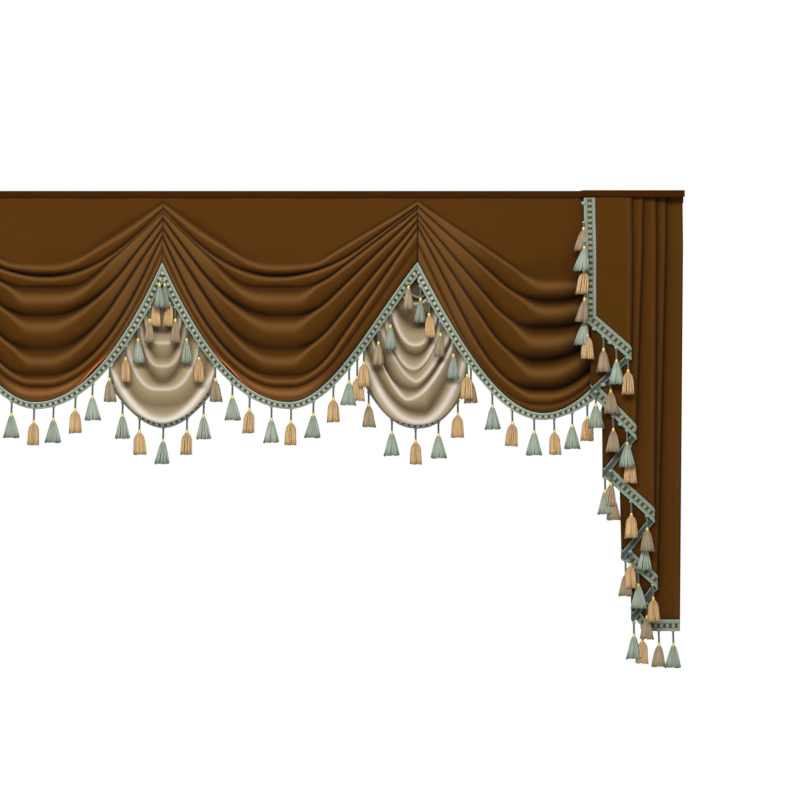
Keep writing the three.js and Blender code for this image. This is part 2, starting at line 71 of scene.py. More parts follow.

# %% [markdown]
# ## Shader maths
# A finish is a small sum: this much painted light on a ridge, that much painted shade in a hollow. Node by
# node such sums are hard to read, so one class wraps a socket and lets Python's own operators add the Math
# nodes. Every other node comes from its one method, which takes the node's type, its settings and its inputs.
# The nodes that each finish needs, such as noise and bump, have short names of their own.


# %% A socket that can be calculated with
class Socket:
    def __init__(self, tree, output=None):
        self.tree, self.output = tree, output

    def node(self, kind, settings=None, inputs=None, output=0):
        made = self.tree.nodes.new(kind)
        for name, value in (settings or {}).items():
            setattr(made, name, value)
        for name, value in (inputs or {}).items():
            if isinstance(value, Socket):
                self.tree.links.new(value.output, made.inputs[name])
            else:
                made.inputs[name].default_value = value
        return Socket(self.tree, made.outputs[output]) if made.outputs else None

    def math(self, operation, *values):
        return self.node("ShaderNodeMath", {"operation": operation}, dict(enumerate(values)))

    def __add__(self, other):
        return self.math("ADD", self, other)

    def __sub__(self, other):
        return self.math("SUBTRACT", self, other)

    def __rsub__(self, other):
        return self.math("SUBTRACT", other, self)

    def __mul__(self, other):
        return self.math("MULTIPLY", self, other)

    __radd__ = __add__
    __rmul__ = __mul__

    def between(self, low, high):
        """0 below low, 1 above high, and a soft step from one to the other."""
        inputs = {"Value": self, "From Min": low, "From Max": high}
        return self.node("ShaderNodeMapRange", {"interpolation_type": "SMOOTHSTEP"}, inputs)

    def object_place(self):
        return self.node("ShaderNodeTexCoord", output="Object")

    def axis(self, name):
        return self.node("ShaderNodeSeparateXYZ", inputs={"Vector": self}, output=name)

    def noise(self, scale, detail=2.0):
        return self.node("ShaderNodeTexNoise", inputs={"Vector": self, "Scale": scale, "Detail": detail})

    def mix(self, first, second, share):
        return self.node("ShaderNodeMix", {"data_type": "RGBA"}, {0: share, 6: first, 7: second}, output=2)

    def brightened(self, value):
        return self.node("ShaderNodeHueSaturation", inputs={"Color": self, "Value": value})

    def bump(self, strength, distance):
        inputs = {"Strength": strength, "Distance": distance, "Height": self}
        return self.node("ShaderNodeBump", inputs=inputs)


def srgb(red, green, blue):
    channels = [value / 255 for value in (red, green, blue)]
    return (*[v / 12.92 if v <= 0.04045 else ((v + 0.055) / 1.055) ** 2.4 for v in channels], 1.0)


def new_finish(name):
    material = bpy.data.materials.new(name)
    material.use_nodes = True
    material.node_tree.nodes.clear()
    return material, Socket(material.node_tree)


def cover(tree, inputs):
    shader = tree.node("ShaderNodeBsdfPrincipled", inputs=inputs)
    tree.node("ShaderNodeOutputMaterial", inputs={"Surface": shader})


print("shader helpers ready")

# %% [markdown]
# ## Light
# The studio is white behind the valance and dimmer in front of it, so that the folds keep their shade. A wide
# lamp high in front lights the upper side of each fold and leaves its lower side dark. A pale floor below
# sends a little light back up.

# %% Light and floor
scene.view_settings.view_transform = "Standard"
FRONT_AMBIENT = 0.32
world = bpy.data.worlds.new("studio")
world.use_nodes = True
world.node_tree.nodes.clear()
scene.world = world
sky = Socket(world.node_tree)
backward = sky.node("ShaderNodeTexCoord", output="Generated").axis("Y")
strength = FRONT_AMBIENT + (1 - FRONT_AMBIENT) * backward.between(0.0, 0.3)
background = sky.node("ShaderNodeBackground", inputs={"Color": (1, 1, 1, 1), "Strength": strength})
sky.node("ShaderNodeOutputWorld", inputs={"Surface": background})


def soft_lamp(name, place, aim, size, watts):
    lamp = bpy.data.objects.new(name, bpy.data.lights.new(name, "AREA"))
    lamp.data.shape, lamp.data.size, lamp.data.size_y, lamp.data.energy = "RECTANGLE", *size, watts
    lamp.location = place
    lamp.rotation_euler = (Vector(aim) - Vector(place)).to_track_quat("-Z", "Y").to_euler()
    scene.collection.objects.link(lamp)


soft_lamp("key_lamp", (-0.1, -2.9, 1.7), (0.0, 0, -0.4), (3.0, 1.0), 121)
soft_lamp("side_lamp", (-1.9, -2.4, 0.9), (0.0, 0, -0.4), (1.0, 1.0), 15)

floor_mesh = bmesh.new()
bmesh.ops.create_grid(floor_mesh, x_segments=1, y_segments=1, size=1.6)
bmesh.ops.translate(floor_mesh, verts=floor_mesh.verts, vec=(0.1, -1.05, -1.42))
floor = bpy.data.objects.new("floor", bpy.data.meshes.new("floor"))
floor_mesh.to_mesh(floor.data)
floor_mesh.free()
scene.collection.objects.link(floor)
floor_paint, floor_tree = new_finish("pale_floor")
cover(floor_tree, {"Base Color": (0.86, 0.85, 0.83, 1), "Roughness": 0.7})
floor.data.materials.append(floor_paint)
print("lamps and floor placed")

# %% [markdown]
# ## Velvet and satin
# Velvet has a short standing pile. It looks deep and matt where the pile is seen end on, and pale where it is
# seen at a slant, along the ridge of each fold. Sheen gives part of that. The rest is painted into the
# colour:
# a painted highlight on each ridge, painted shade in each hollow and a painted red sheen, stored on each
# cloth as the attributes ridge, hollow and glow and worked out with its folds, so the shade stays on the
# cloth from every side.

# %% Cloth finishes


def attribute(tree, name):
    return tree.node("ShaderNodeAttribute", {"attribute_name": name}, output="Fac")


def velvet(name, face, ridge, hollow, glow):
    material, tree = new_finish(name)
    place = tree.object_place()
    pile, brushed = place.noise(850.0), place.noise(16.0, 4.0)
    # Painted highlight on the ridges, painted red sheen, and painted shade in the hollows, read from
    # attributes.
    colour = tree.mix(face, ridge, attribute(tree, "ridge"))
    colour = tree.mix(colour, glow, attribute(tree, "glow"))
    colour = tree.mix(colour, hollow, attribute(tree, "hollow"))
    colour = colour.brightened(0.84 + 0.2 * pile + 0.12 * brushed)
    nap = pile.bump(0.25, 0.6 * MM)
    finish = {"Base Color": colour, "Roughness": 0.8 + 0.15 * pile, "Normal": nap}
    cover(tree, finish | {"Specular IOR Level": 0.05, "Sheen Weight": 0.06, "Sheen Roughness": 0.4})
    return material


# Each velvet: its face colour, then the colours of its painted highlight, painted shade and painted red
# sheen.
brown = velvet("brown_velvet", srgb(76, 45, 8), srgb(114, 80, 42), srgb(10, 4, 1), srgb(214, 112, 66))
dark_brown = velvet("heading_velvet", srgb(58, 28, 3), srgb(80, 50, 20), srgb(10, 4, 1), srgb(58, 28, 3))


def satin(name):
    material, tree = new_finish(name)
    place = tree.object_place()
    grain, cloud = place.noise(700.0), place.noise(22.0, 3.0)
    # Painted highlight on the ridges and painted shade in the hollows, read from attributes.
    colour = tree.mix(srgb(152, 133, 101), srgb(208, 200, 188), attribute(tree, "ridge"))
    colour = tree.mix(colour, srgb(62, 45, 24), attribute(tree, "hollow"))
    colour = colour.brightened(0.87 + 0.14 * grain + 0.12 * cloud)
    nap = grain.bump(0.2, 0.4 * MM)
    finish = {"Base Color": colour, "Roughness": 0.5 + 0.15 * grain, "Normal": nap}
    cover(tree, finish | {"Specular IOR Level": 0.15, "Sheen Weight": 0.08, "Sheen Roughness": 0.35})
    return material


beige = satin("beige_satin")
print("cloth finishes:", brown.name, dark_brown.name, beige.name)

# %% [markdown]
# ## Sheets of cloth
# Each cloth starts as a flat grid, as cloth off the roll, and its points are moved onto the folds. A Solidify
# modifier gives it a little thickness. The helpers below make the grid, tell each row of it which fold it is
# in, and finish the piece: attributes, shading, material, and its place in the frame.

# %% Cloth helpers


def flat_grid(name, columns, rows):
    """A grid mesh, and for each of its points the column share and the row number from the top."""
    grid = bmesh.new()
    bmesh.ops.create_grid(grid, x_segments=columns, y_segments=rows, size=0.5)
    mesh = bpy.data.meshes.new(name)
    grid.to_mesh(mesh)
    grid.free()
    points = np.empty(len(mesh.vertices) * 3)
    mesh.vertices.foreach_get("co", points)
    points = points.reshape(-1, 3)
    return mesh, points[:, 0] + 0.5, np.rint((0.5 - points[:, 1]) * rows).astype(int)


def rows_in_bands(counts):
    """For each row from the top, its band between two fold lines and its share of the way down that band."""
    band = np.concatenate([[0], *[np.full(count, index) for index, count in enumerate(counts)]])
    share = np.concatenate([[0.0], *[np.arange(1, count + 1) / count for count in counts]])
    return band.astype(int), share


def show(name, mesh, finish, node):
    piece = bpy.data.objects.new(name, mesh)
    scene.collection.objects.link(piece)
    mesh.materials.append(finish)
    mesh.shade_smooth()
    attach(piece, "root")
    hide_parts(node)
    return piece


def lay_points(mesh, points):
    mesh.vertices.foreach_set("co", (points * MM).ravel())
    mesh.update()


def store(mesh, name, values):
    layer = mesh.attributes.new(name, "FLOAT", "POINT")
    layer.data.foreach_set("value", np.clip(values, 0, 1).astype(np.float32))


def thicken(piece, thickness):
    wall = piece.modifiers.new("thickness", "SOLIDIFY")
    wall.thickness = thickness * MM
    wall.offset = 0


def run_length(points):
    return np.linalg.norm(np.diff(points, axis=0), axis=1).sum()


def measure(name, mesh, points, across, row):
    """Prints the length of a sheet's lower edge and of its middle column, and its area, in metres."""
    hem = points[row == row.max()]
    hem = hem[np.argsort(across[row == row.max()])]
    columns = np.unique(np.round(across, 6))
    middle = np.isclose(across, columns[len(columns) // 2])
    column = points[middle][np.argsort(row[middle])]
    lower_edge, down = [round(run_length(line) * MM, 3) for line in (hem, column)]
    area = round(sum(face.area for face in mesh.polygons), 4)
    print(name, "hem", lower_edge, "middle", down, "area", area)


def lerp(start, end, share):
    return start + (end - start) * share


def smoothstep(value, start, end):
    share = np.clip((value - start) / (end - start), 0, 1)
    return share * share * (3 - 2 * share)


def bell(value, width):
    return np.exp(-((value / width) ** 2))


print("cloth helpers ready")

# %% [markdown]
# ## Fold lines of the swags
# A swag is a cloth gathered at its two ends, so its folds hang as curves between two stacks of pleats. A
# cloth simulation could find them, but a maker sets them by hand, so they are placed by tables. Each fold
# starts at a valley: its drop below the top edge at both stacks and at its low stretch, and where that
# stretch lies across the swag. From there the line curves for a share of the way to each stack, its bend,
# and then runs straight. Crest is the place of the ridge at the low stretch, as a share of the way to the
# next valley. Dark and pale are the painted shade of the valley and the painted light on the ridge, on the
# left, in the middle and on the right. The hem is cut, not hung, so its curve has its own formula: a taut
# side runs straight. All sizes are in millimetres.

# %% Swag tables
EVEN_PALE = (0.6, 0.62, 0.72)
Fold = namedtuple(
    "Fold", "left low right low_from low_to left_bend right_bend crest dark pale", defaults=[EVEN_PALE]
)
Hem = namedtuple("Hem", "left low right low_from low_to left_taut right_taut dark")
Swag = namedtuple("Swag", "name middle mirrored pressed folds hem crisp")
CLOTH_TOP, HEADING_LIP = 2.4, 15.0
SWAG_FOLDS = [
    Fold(23, 149, 21, 0.427, 0.58, 0.39, 0.15, 0.5, (0.35, 0.05, 0.4)),
    Fold(40, 181, 32, 0.45, 0.46, 0.85, 0.61, 0.3, (0.6, 1.0, 0.95)),
    Fold(45, 205, 38, 0.38, 0.527, 0.36, 0.32, 0.42, (0.35, 0.5, 0.9)),
    Fold(59, 266, 48, 0.44, 0.512, 0.68, 0.3, 0.32, (0.9, 0.42, 0.86)),
    Fold(80, 337, 64, 0.44, 0.5, 0.59, 0.33, 0.45, (0.82, 0.3, 0.86)),
    Fold(96, 390, 79, 0.445, 0.52, 0.86, 0.32, 0.5, (0.92, 0.32, 0.86)),
    Fold(122, 414, 118, 0.455, 0.5, 1.0, 0.42, 0.4, (0.0, 0.08, 0.05), (0.05, 0.5, 0.05)),
]
SWAG_HEM = Hem(151, 445, 151, 0.496, 0.496, 0.0, 0.87, (0.5, 0.3, 0.5))
END_SWAG_FOLDS = [
    Fold(20, 182, 34, 0.49, 0.594, 0.22, 0.82, 0.4, (0.4, 0.2, 0.4)),
    Fold(32, 234, 56, 0.5, 0.53, 0.36, 1.0, 0.4, (0.6, 0.85, 0.95)),
    Fold(48, 289, 72, 0.462, 0.535, 0.38, 1.0, 0.45, (0.6, 0.88, 1.0)),
    Fold(61, 359, 88, 0.461, 0.48, 0.42, 1.0, 0.45, (0.55, 0.85, 1.0)),
    Fold(74, 419, 100, 0.458, 0.512, 0.57, 0.62, 0.52, (0.68, 0.85, 1.0)),
    Fold(108, 450, 122, 0.47, 0.5, 0.72, 0.8, 0.4, (0.0, 0.0, 0.15), (0.1, 0.2, 0.3)),
]
END_SWAG_HEM = Hem(151, 468, 151, 0.49, 0.49, 0.4, 0.26, (0.4, 0.3, 0.5))
SWAG_WIDTH, PIECE_GAP = 536.0, 0.4
SWAGS = [
    Swag("swag_left", -SWAG_WIDTH, True, False, SWAG_FOLDS, SWAG_HEM, (0.8, 0.0, 1.0)),
    Swag("swag_middle", 0.0, False, False, SWAG_FOLDS, SWAG_HEM, (0.8, 0.0, 1.0)),
    Swag("swag_right", SWAG_WIDTH, False, True, END_SWAG_FOLDS, END_SWAG_HEM, (1.0, 0.0, 0.1)),
]
VELVET_SEAT, STACK_DEPTH, BELLY_DEPTH = 5.2, 31.0, 6.0
FOLD_DEPTH, PLEAT_FULLNESS, CRISP_LEDGE = 0.3, 0.45, 6.2
PRESSED_FROM, PRESSED_SHARE, LIMP_BANDS = (560, 650), 0.3, 4
print("swags:", [swag.name for swag in SWAGS])

# %% [markdown]
# ## The shape of a fold
# In section a fold of velvet is not a wave. From the valley the cloth comes forward over a ledge to the
# ridge, falls as a long face, and curls back under into the next valley. So the wave below rises quickly
# and falls slowly, ending steeply. Where the cloth runs taut to its pleats the fold is crisp: the ledge is
# only a few millimetres wide, with a thin line of painted shade above it and a thin painted highlight on it.
# At the low point it is soft. Beside the left stack of the tables the upper folds hang limp, and the faces
# of the others are given more painted light.

# %% Swag surface


def sides_of(line, u):
    """For each u: whether it lies left of the low stretch, and its share of the way on to the pleats."""
    on_left = u < line.low_from
    right_share = np.maximum(u - line.low_to, 0) / (1 - line.low_to)
    return on_left, np.where(on_left, 1 - u / line.low_from, right_share)


def fold_drop(line, u):
    """Drop of a valley: a parabola near its low stretch and a straight line from its bend to the pleats."""
    on_left, t = sides_of(line, u)
    bend = np.where(on_left, line.left_bend, line.right_bend)
    rise = np.where(t < bend, t**2 / bend, 2 * t - bend) / (2 - bend)
    return lerp(line.low, np.where(on_left, line.left, line.right), rise)


def hem_line(hem, u):
    on_left, t = sides_of(hem, u)
    taut = np.where(on_left, hem.left_taut, hem.right_taut)
    return lerp(hem.low, np.where(on_left, hem.left, hem.right), t**2 * (1 + taut * (1 - t)))


def swag_lines(swag, u):
    """Drops of all lines from the top edge to the hem, one row for each."""
    flat = [np.full_like(u, CLOTH_TOP), np.full_like(u, HEADING_LIP + 1)]
    return np.stack(flat + [fold_drop(line, u) for line in swag.folds] + [hem_line(swag.hem, u)])


def along_swag(swag, u, line, values):
    """A value at the left pleats, the low stretch and the right pleats of a line, blended along the swag."""
    left, middle, right = values
    reach = (0.12, 0.22) if swag.pressed else (0.21, 0.1)
    leftward = smoothstep(line.low_from - u, 0.0, reach[0])
    rightward = smoothstep(u - line.low_to, 0.0, reach[1])
    return middle + (left - middle) * leftward + (right - middle) * rightward


def fold_wave(t, crest):
    rising = np.sin(np.pi / 2 * np.clip(t / crest, 0, 1))
    falling = np.cos(np.pi / 2 * np.clip((t - crest) / (1 - crest), 0, 1) ** 1.5)
    return np.where(t < crest, rising, falling)


def swag_stand(swag, x, drop):
    """How far the cloth stands out without its folds, and the share left where the tail presses on it."""
    stand = STACK_DEPTH * smoothstep(drop, 14, 151) + BELLY_DEPTH * smoothstep(drop, 150, 400)
    return stand, lerp(1, PRESSED_SHARE, smoothstep(x, *PRESSED_FROM)) if swag.pressed else np.ones_like(x)


def swag_ends(swag):
    return swag.middle - SWAG_WIDTH / 2 + PIECE_GAP, swag.middle + SWAG_WIDTH / 2 - PIECE_GAP


SwagSurface = namedtuple("SwagSurface", "points ridge hollow to_lower")
SLOPE_STEP, BESIDE_STACK = 0.002, (0.12, 0.3)


def swag_surface(swag, across, band, t):
    """Points of the cloth, painted ridge light and hollow shade for each, and its distance from the line
    below it.
    """
    u = 1 - across if swag.mirrored else across
    x = lerp(*swag_ends(swag), across)
    pick, folded = np.arange(len(u)), band > 1
    lines = [swag.hem] * 2 + [*swag.folds, swag.hem]
    drops = swag_lines(swag, u)
    above, below = drops[band, pick], drops[band + 1, pick]
    height = np.maximum(below - above, 1)
    drop = above + (below - above) * t
    slope = (swag_lines(swag, u + SLOPE_STEP)[band, pick] - above) / (SLOPE_STEP * SWAG_WIDTH)
    across_fold = height / np.hypot(1, slope)
    leftward = 1 - smoothstep(u, *BESIDE_STACK)
    limp = leftward * (band < LIMP_BANDS) * (not swag.pressed)
    crisp = np.stack([along_swag(swag, u, line, swag.crisp) for line in lines])[band, pick]
    crisp = crisp * lerp(1, 0.4, limp)
    crest_at = np.array([0.5, 0.5] + [line.crest for line in swag.folds])
    ledge = np.minimum(lerp(crest_at[band] * across_fold, CRISP_LEDGE, crisp), 0.5 * across_fold)
    fullness = lerp(1, PLEAT_FULLNESS, (2 * u - 1) ** 2)
    fold = FOLD_DEPTH * height * fullness * fold_wave(t, ledge / across_fold) * folded
    stand, share = swag_stand(swag, x, drop)
    points = np.column_stack([x, -VELVET_SEAT - share * (stand + fold), -drop])

    # Painted shade in the valleys, and painted highlight on the ridges and on the lit faces of the folds.
    bare = np.zeros_like(u)
    dark = np.stack([bare, bare] + [along_swag(swag, u, line, line.dark) for line in lines[2:]])
    pale = np.stack([bare, bare] + [along_swag(swag, u, line, line.pale) for line in swag.folds])
    to_upper, to_lower = t * across_fold, (1 - t) * across_fold
    ledge_shade = dark[band, pick] * bell(to_upper, lerp(0.18 * across_fold, 3.0, crisp)) * folded
    curl_shade = dark[band + 1, pick] * bell(to_lower, lerp(0.28 * across_fold, 2.8, crisp)) * (band > 0)
    ridge = pale[band, pick] * bell(to_upper - ledge, lerp(0.16 * across_fold, 2.8, crisp))
    lit_face = 0.5 * (leftward - limp) * smoothstep(to_upper, 0.6 * ledge, ledge) * folded
    ridge = np.maximum(ridge, lit_face)
    # A thin line of painted shade down the seam between two swags.
    seam = np.where(x > 0, 0.7, 0.2) * bell(np.minimum(across, 1 - across) * SWAG_WIDTH, 1.6)
    seam = seam * smoothstep(drop, 30, 70)
    hollow = np.maximum(np.maximum(ledge_shade, curl_shade), seam)
    return SwagSurface(points, ridge, hollow, to_lower)


print("bands of a swag:", len(SWAG_FOLDS) + 2)

# %% [markdown]
# Just above the braid the velvet turns away from the eye, and a painted red sheen stands for the glow of its
# pile. On the slacker side of a swag the last fold lifts off the hem, so that a thin red painted highlight
# and a line of painted shade run beside the braid. At the low point the painted sheen is broad and soft.
# Painting these on a picture would be easy, but a formula on the hem keeps them in place when the cloth is
# seen from the side.

# %% Swags
SWAG_COLUMNS, SWAG_FOLD_ROWS = 180, 19
LIFT_AT, LIFT_WIDTH, LIFT_HEIGHT = 0.27, 0.055, 5.0


def hem_glow(u, t, to_hem):
    """On the last fold of a swag: the painted red sheen, the broad painted light, the painted shade line
    under the lifted edge, and how far the painted shade beside the hem is eased."""
    lifted = bell(u - LIFT_AT, LIFT_WIDTH)
    rim = bell(to_hem - LIFT_HEIGHT * lifted - 0.6, lerp(1.0, 1.4, lifted)) * smoothstep(u, 0.13, 0.24)
    rim = rim * (1 - smoothstep(u, 0.4, 0.52)) * lerp(0.4, 0.95, bell(u - LIFT_AT - 0.02, 0.07))
    low = smoothstep(u, 0.25, 0.36) * (1 - smoothstep(u, 0.54, 0.68))
    broad = np.maximum(bell(t - 0.45, 0.24), 0.6 * bell(to_hem - 4.5, 4.0)) * low
    gap = lifted * bell(to_hem - 0.3 * LIFT_HEIGHT * lifted, 1.6)
    eased = np.maximum(rim, 0.8 * low * smoothstep(t, 0.4, 0.65))
    return np.maximum(rim, 0.08 * broad), broad, 0.95 * gap, eased


swag_pieces = {}
for swag in SWAGS:
    band_counts = [1, 14] + [SWAG_FOLD_ROWS] * len(swag.folds)
    row_band, row_share = rows_in_bands(band_counts)
    mesh, across, row = flat_grid(swag.name + "_velvet", SWAG_COLUMNS, sum(band_counts))
    band, t = row_band[row], row_share[row]
    surface = swag_surface(swag, across, band, t)
    lay_points(mesh, surface.points)
    last = band == len(band_counts) - 1
    u = 1 - across if swag.mirrored else across
    glow, pale, under_lift, eased = hem_glow(u, t, surface.to_lower)
    # Painted shade along the hem, eased under the painted sheen; the slack swags also get painted light and
    # sheen.
    hollow = np.maximum(surface.hollow * (1 - 0.7 * last * eased), 0.5 * last * bell(surface.to_lower, 1.4))
    ridge = surface.ridge
    if not swag.pressed:
        hollow, ridge = np.maximum(hollow, last * under_lift), np.maximum(ridge, last * pale)
        store(mesh, "glow", last * glow)
    store(mesh, "ridge", ridge)
    store(mesh, "hollow", hollow)
    swag_pieces[swag.name] = show(swag.name + "_velvet", mesh, brown, swag.name)
    thicken(swag_pieces[swag.name], 1.8)
    measure(swag.name, mesh, surface.points, across, row)

# %% [markdown]
# ## Under-swags
# Between two swags hangs a small cowl of paler cloth. Its folds are nested in each other like the letter U:
# every row of its table gives the reach of a line to both sides, its drop at the sides and at its low
# point, how far that point leans over, and how round the line is on both sides: 1 is straight, 2 a parabola.
# Valleys and ridges take turns. The tones are the painted shade of a valley or the painted light on a ridge,
# on the left, in the middle and on the right. The peak has painted shade for the shadow of the swags, and the
# painted highlight of a small gather whose tone is over 1 shows through it. The hem carries the braid, and
# the cloth rolls over it a little, most on the sides.

# %% Under-swag tables
Cowl = namedtuple("Cowl", "left right side low lean rounds tones", defaults=((0, 0, 0),))
UNDER_LINES = {
    "under_swag_left": [
        Cowl(50, 50, CLOTH_TOP, CLOTH_TOP, 0, (2, 2)),
        Cowl(50, 50, 25, 25, 0, (2, 2)),
        Cowl(34, 34, 190, 205, 0, (2.5, 2.5), (0.9, 0.9, 0.9)),
        Cowl(34, 34, 203, 250, 0, (2.7, 2.7), (0.2, 0.3, 0.2)),
        Cowl(34, 34, 215, 296, 0, (3.0, 3.0), (0.85, 0.5, 0.85)),
        Cowl(42, 42, 240, 322, 0, (4.4, 4.4), (0.4, 0.55, 0.4)),
        Cowl(46, 46, 255, 354, 0, (2.9, 2.9), (0.8, 0.35, 0.8)),
        Cowl(52, 52, 272, 371, 0, (3.2, 3.2), (0.35, 0.45, 0.35)),
        Cowl(62, 62, 280, 404, 0, (2.15, 2.15), (0.75, 0.75, 0.75)),
        Cowl(82, 82, 312, 420, 0, (3.0, 3.0), (0.7, 0.55, 0.7)),
        Cowl(98, 98, 346, 455, 0, (3.3, 3.3), (0.4, 0.45, 0.4)),
        Cowl(110, 110, 374, 485, 0, (2.0, 2.0), (1.0, 1.0, 1.0)),
    ],
    "under_swag_right": [
        Cowl(50, 50, CLOTH_TOP, CLOTH_TOP, 0, (2, 2)),
        Cowl(50, 50, 25, 25, 0, (2, 2)),
        Cowl(40, 33, 172, 204, 0, (2.5, 2.5), (0.9, 0.9, 0.9)),
        Cowl(43, 35, 184, 225, 2, (1.7, 2.4), (1.6, 1.6, 1.4)),
        Cowl(45, 36, 190, 231, 0, (1.8, 2.4), (1.0, 1.0, 1.0)),
        Cowl(48, 38, 198, 239, -3, (2.0, 2.4), (1.9, 1.9, 1.9)),
        Cowl(54, 41, 222, 280, -2, (2.4, 2.6), (0.9, 0.85, 0.8)),
        Cowl(58, 46, 245, 326, -4, (2.4, 2.4), (0.75, 0.7, 0.6)),
        Cowl(62, 50, 255, 348, -2, (2.4, 2.1), (0.7, 0.8, 0.7)),
        Cowl(70, 56, 268, 375, -8, (2.1, 2.0), (0.5, 0.55, 0.95)),
        Cowl(74, 62, 276, 386, -5, (2.1, 1.5), (0.3, 0.1, 0.1)),
        Cowl(80, 76, 286, 403, -2, (1.7, 1.5), (0.45, 0.6, 0.8)),
        Cowl(95, 80, 298, 419, -4, (2.9, 1.5), (0.95, 0.75, 1.0)),
        Cowl(102, 86, 300, 441, -22, (1.5, 1.85), (0.65, 0.7, 0.95)),
        Cowl(109, 93, 326, 467, 18, (2.6, 1.4), (0.75, 0.8, 0.6)),
        Cowl(113, 101, 350, 488, 3, (2.2, 2.2), (0.85, 0.85, 0.85)),
    ],
}
UNDER_HEMS = {
    "under_swag_left": Cowl(111, 111, 380, 487, 0, (1.85, 1.85), (0.3, 0.3, 0.3)),
    "under_swag_right": Cowl(112, 105, 366, 490, 0, (2.3, 2.3), (0.3, 0.3, 0.3)),
}
FIRST_VALLEY, HEM_OVERLAP, EDGE_FORWARD = 2, 10.0, 3.0
UNDER_MIDDLE = {"under_swag_left": -0.5 * SWAG_WIDTH, "under_swag_right": 0.5 * SWAG_WIDTH}
Belly = namedtuple("Belly", "start end depth tilt")
UNDER_BELLY = {"under_swag_left": Belly(330, 450, 16, 58), "under_swag_right": Belly(350, 460, 20, 64)}
UNDER_SEAT, UNDER_FORWARD, UNDER_FOLD_DEPTH, UNDER_SIDE_FULLNESS = 2.8, 7, 0.16, 0.4
PEAK_SHADE, PEAK_FROM, PEAK_TO = 0.95, (120, 160), (222, 272)
print("under-swags:", list(UNDER_LINES))

# %% [markdown]
# From a valley the cloth rises to the next ridge and falls again to the next valley. The painted light on a
# ridge is a narrow stroke, and the painted shade of a valley reaches from it up towards the ridge above. Both
# are measured square to the line, so that a stroke is as wide on the steep sides as in the middle.

# %% Under-swag surface
UnderSurface = namedtuple("UnderSurface", "points ridge hollow")


def cowl_side(across):
    """From -1 at the left end to 1 at the right end, with more columns near the steep ends."""
    return np.sin(np.pi / 2 * (2 * across - 1))


def cowl_line(line, side):
    """Place across and drop of a line."""
    x = np.where(side < 0, line.left, line.right) * side
    off, on_left = x - line.lean, x < line.lean
    rise = np.where(on_left, -off / (line.lean + line.left), off / (line.right - line.lean))
    drop = lerp(line.low, line.side, np.abs(rise) ** np.where(on_left, *line.rounds))
    return np.stack([x, drop], axis=-1)


def square_left(way):
    return np.stack([-way[..., 1], way[..., 0]], axis=-1)


def line_ways(line, side):
    ahead = cowl_line(line, side + 0.001) - cowl_line(line, side)
    return ahead / np.linalg.norm(ahead, axis=-1)[..., None]


def cloth_edge(name, side):
    """The cloth's lower edge: its hem, rolled over the braid."""
    hem, aside = UNDER_HEMS[name], np.abs(side)
    over = HEM_OVERLAP * lerp(0.3, 1, smoothstep(aside, 0.1, 0.6)) * (1 - smoothstep(aside, 0.8, 1))
    return cowl_line(hem, side) + square_left(line_ways(hem, side)) * over[:, None]


def under_stand(name, drop, side):
    belly = UNDER_BELLY[name]
    rounded = belly.depth * smoothstep(drop, belly.start, belly.end) * (1 - side**2)
    return UNDER_SEAT + UNDER_FORWARD * smoothstep(drop, 60, 210) + rounded


def under_surface(name, across, band, t):
    lines, side, pick = [*UNDER_LINES[name], UNDER_HEMS[name]], cowl_side(across), np.arange(len(across))
    at = np.stack([cowl_line(line, side) for line in lines[:-1]] + [cloth_edge(name, side)])
    square = np.stack([square_left(line_ways(line, side)) for line in lines])
    upper, lower = at[band, pick], at[band + 1, pick]
    place = lerp(upper, lower, t[:, None])
    to_upper = np.abs(((place - upper) * square[band, pick]).sum(axis=1))
    to_lower = np.abs(((place - lower) * square[band + 1, pick]).sum(axis=1))
    gap = np.maximum(np.abs(((lower - upper) * square[band, pick]).sum(axis=1)), 1)

    tones = np.stack([np.interp(side, [-0.8, 0, 0.8], line.tones) for line in lines])
    folded = band >= FIRST_VALLEY
    rising = folded & ((band - FIRST_VALLEY) % 2 == 0)
    falling = folded & ~rising
    rim = band >= len(lines) - 3
    light_above = rising * tones[band + 1, pick] * bell(to_lower, np.where(rim, lerp(8.0, 4.0, side**2), 5.0))
    light_below = falling * tones[band, pick] * bell(to_upper, np.where(rim, 6.0, 2.2))
    shade_above = falling * tones[band + 1, pick] * bell(to_lower, np.where(rim, 2.0, 0.68 * gap))
    shade_below = rising * tones[band, pick] * bell(to_upper, 0.4 * gap)

    full = np.zeros(at.shape[:2])
    for ridge in range(FIRST_VALLEY + 1, len(lines) - 1, 2):
        full[ridge] = UNDER_FOLD_DEPTH * (at[ridge + 1, :, 1] - at[ridge - 1, :, 1])
    full = full * lerp(UNDER_SIDE_FULLNESS, 1, 1 - side**2)
    full[-1] = EDGE_FORWARD
    ease = np.where(rising, np.sin(np.pi / 2 * t), 1 - np.cos(np.pi / 2 * t))
    fold = lerp(full[band, pick], full[band + 1, pick], ease) * folded
    depth = under_stand(name, place[:, 1], side) + fold
    points = np.column_stack([UNDER_MIDDLE[name] + place[:, 0], -depth, -place[:, 1]])
    return UnderSurface(points, np.maximum(light_above, light_below), np.maximum(shade_above, shade_below))


